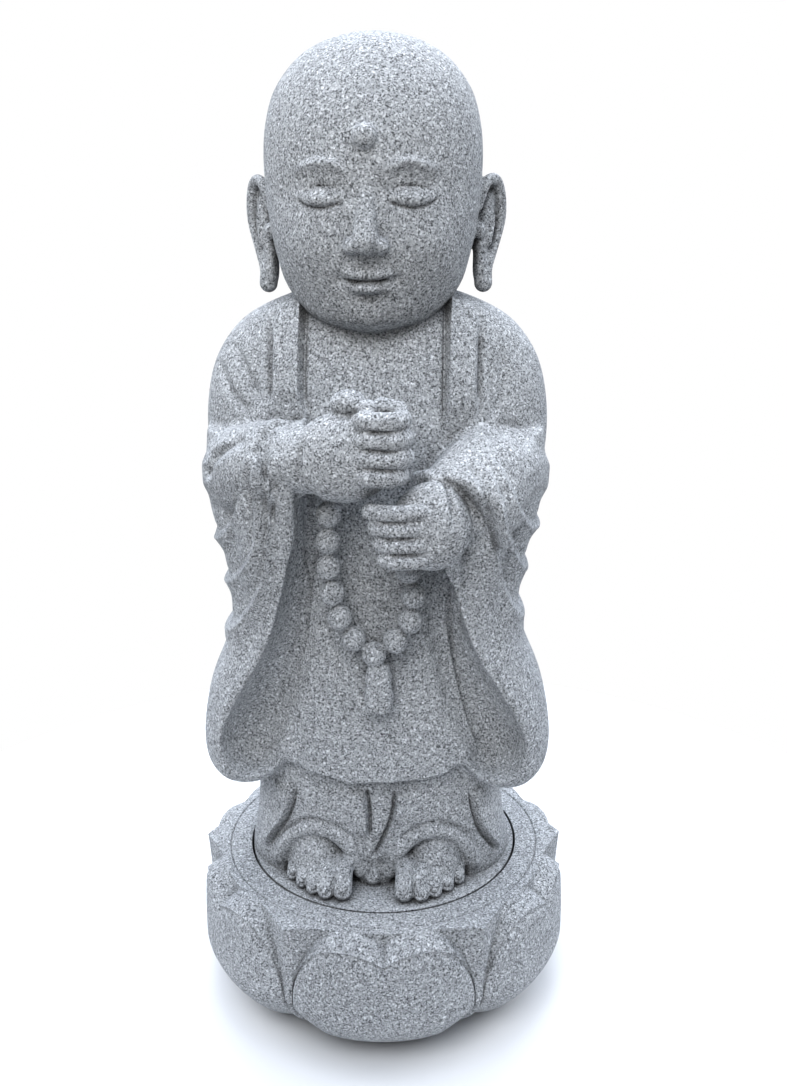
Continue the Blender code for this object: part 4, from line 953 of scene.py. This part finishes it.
def granite(name, tone):
    """Fine grey granite: pale ground, dark and white grains, hammered surface, and painted shade that
    darkens its colour in creases and hollows.
    """
    material = bpy.data.materials.new(name)
    material.use_nodes = True
    tree = material.node_tree
    shader = tree.nodes["Principled BSDF"]
    where = tree.nodes.new("ShaderNodeTexCoord")

    def noise(scale, detail, rough=0.5):
        node = tree.nodes.new("ShaderNodeTexNoise")
        node.inputs["Scale"].default_value = scale
        node.inputs["Detail"].default_value = detail
        node.inputs["Roughness"].default_value = rough
        link(tree, where, "Object", node, "Vector")
        return node

    def ramp(stops, source, socket):
        node = tree.nodes.new("ShaderNodeValToRGB")
        while len(node.color_ramp.elements) < len(stops):
            node.color_ramp.elements.new(0.5)
        for element, (place, colour) in zip(node.color_ramp.elements, stops):
            element.position = place
            element.color = (*colour, 1.0)
        link(tree, source, socket, node, "Fac")
        return node

    def mix(kind, share, first, second):
        node = tree.nodes.new("ShaderNodeMix")
        node.data_type = "RGBA"
        node.blend_type = kind
        node.inputs[0].default_value = share
        tree.links.new(first, node.inputs[6])
        tree.links.new(second, node.inputs[7])
        return node.outputs[2]

    clouds = ramp(((0.3, (0.36 * tone, 0.375 * tone, 0.39 * tone)),
                   (0.7, (0.43 * tone, 0.445 * tone, 0.46 * tone))), noise(9, 4), "Fac")
    grains = tree.nodes.new("ShaderNodeTexVoronoi")
    grains.inputs["Scale"].default_value = GRAIN_SCALE
    link(tree, where, "Object", grains, "Vector")
    tones = ramp(((0.0, (0.24, 0.24, 0.24)), (0.3, (0.80, 0.80, 0.80)), (0.7, (1.05, 1.05, 1.05)),
                  (1.0, (1.75, 1.75, 1.75))), grains, "Color")
    pepper = ramp(((0.40, (0.03, 0.03, 0.035)), (0.46, (1.0, 1.0, 1.0))), noise(PEPPER_SCALE, 2, 0.6), "Fac")
    salt = ramp(((0.58, (0.0, 0.0, 0.0)), (0.66, (0.30, 0.305, 0.31))), noise(SALT_SCALE, 1, 0.5), "Fac")
    colour = mix("MULTIPLY", 1.0, clouds.outputs["Color"], tones.outputs["Color"])
    colour = mix("MULTIPLY", 0.85, colour, pepper.outputs["Color"])
    colour = mix("ADD", 0.8, colour, salt.outputs["Color"])
    # Painted shade: ambient occlusion darkens the base colour in creases, hollows and between parts, where
    # shade falls
    shade = tree.nodes.new("ShaderNodeAmbientOcclusion")
    shade.samples = PAINTED_SHADE_SAMPLES
    shade.inputs["Distance"].default_value = PAINTED_SHADE_REACH
    painted_shade = ramp(((0.30, (0.20, 0.19, 0.18)), (0.80, (1.0, 1.0, 1.0))), shade, "AO")
    colour = mix("MULTIPLY", 0.85, colour, painted_shade.outputs["Color"])
    tree.links.new(colour, shader.inputs["Base Color"])
    rough = ramp(((0.3, (0.78, 0.78, 0.78)), (0.7, (0.95, 0.95, 0.95))), noise(260, 2), "Fac")
    link(tree, rough, "Color", shader, "Roughness")
    bump = tree.nodes.new("ShaderNodeBump")
    bump.inputs["Strength"].default_value = 0.55
    bump.inputs["Distance"].default_value = HAMMER_DEPTH
    link(tree, noise(HAMMER_SCALE, 3, 0.6), "Fac", bump, "Height")
    link(tree, bump, "Normal", shader, "Normal")
    shader.inputs["Specular IOR Level"].default_value = 0.3
    return material


def dress(thing, name, node, material):
    """Name, material, shading and frame links of a finished piece."""
    thing.name = name
    thing.data.name = name
    thing.data.materials.clear()
    thing.data.materials.append(material)
    for face in thing.data.polygons:
        face.use_smooth = True
    thing.data.set_sharp_from_angle(angle=math.radians(SHARP_ANGLE))
    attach(thing, "root")
    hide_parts(node)


def lay_floor():
    """A pale round floor."""
    bm = bmesh.new()
    bmesh.ops.create_circle(bm, cap_ends=True, segments=96, radius=FLOOR_RADIUS)
    mesh = bpy.data.meshes.new("floor")
    bm.to_mesh(mesh)
    bm.free()
    floor = bpy.data.objects.new("floor", mesh)
    bpy.context.collection.objects.link(floor)
    paint = bpy.data.materials.new("floor_paint")
    paint.use_nodes = True
    shader = paint.node_tree.nodes["Principled BSDF"]
    shader.inputs["Base Color"].default_value = FLOOR_COLOUR
    shader.inputs["Roughness"].default_value = 0.9
    floor.data.materials.append(paint)


def light_sky():
    """A soft sky, brightest above and behind the statue, seen by the camera as plain white."""
    world = bpy.data.worlds.new("studio")
    world.use_nodes = True
    tree = world.node_tree
    ground = tree.nodes["Background"]
    where = tree.nodes.new("ShaderNodeTexCoord")
    upward = tree.nodes.new("ShaderNodeVectorMath")
    upward.operation = "DOT_PRODUCT"
    upward.inputs[1].default_value = SKY_SIDE
    tree.links.new(where.outputs["Generated"], upward.inputs[0])
    sky = tree.nodes.new("ShaderNodeValToRGB")
    for element, (place, tone) in zip(sky.color_ramp.elements, SKY):
        element.position = place
        element.color = (*tone, 1.0)
    link(tree, upward, "Value", sky, "Fac")
    link(tree, sky, "Color", ground, "Color")
    ground.inputs["Strength"].default_value = SKY_STRENGTH
    plain = tree.nodes.new("ShaderNodeBackground")
    plain.inputs["Color"].default_value = (1.0, 1.0, 1.0, 1.0)
    seen = tree.nodes.new("ShaderNodeLightPath")
    choose = tree.nodes.new("ShaderNodeMixShader")
    link(tree, seen, "Is Camera Ray", choose, "Fac")
    tree.links.new(ground.outputs["Background"], choose.inputs[1])
    tree.links.new(plain.outputs["Background"], choose.inputs[2])
    link(tree, choose, "Shader", tree.nodes["World Output"], "Surface")
    bpy.context.scene.world = world


def place_lights():
    """Round soft lights above, beside and in front of the statue."""
    for name, place, aim, size, power in LIGHTS:
        lamp = bpy.data.lights.new(name, "AREA")
        lamp.shape = "DISK"
        lamp.size = size
        lamp.energy = power
        thing = bpy.data.objects.new(name, lamp)
        thing.location = place
        thing.rotation_euler = (Vector(aim) - Vector(place)).to_track_quat("-Z", "Y").to_euler()
        bpy.context.collection.objects.link(thing)


def place_camera():
    """The camera at the photograph's angle."""
    data = bpy.data.cameras.new("camera")
    data.sensor_width = 36.0
    data.lens = CAMERA_LENS
    camera = bpy.data.objects.new("camera", data)
    turn = math.radians(CAMERA_TURN)
    camera.location = (CAMERA_DISTANCE * math.sin(turn) + CAMERA_ASIDE * math.cos(turn),
                       -CAMERA_DISTANCE * math.cos(turn) + CAMERA_ASIDE * math.sin(turn),
                       CAMERA_HEIGHT)
    camera.rotation_euler = (math.radians(90 - CAMERA_PITCH), math.radians(CAMERA_ROLL), turn)
    bpy.context.collection.objects.link(camera)
    bpy.context.scene.camera = camera
    bpy.context.scene.view_settings.view_transform = "Standard"


def main():
    """Carve both stones, light them and hand them over."""
    dress(build_figure(), "carved_figure", "monk_figure",
          granite("figure_granite", FIGURE_TONE))
    # The base gets a darker copy of the granite: painted shade for the dimmer light low down
    dress(build_lotus(), "carved_base", "lotus_base",
          granite("base_granite_painted_shade", BASE_PAINTED_SHADE_TONE))
    lay_floor()
    light_sky()
    place_lights()
    place_camera()


main()
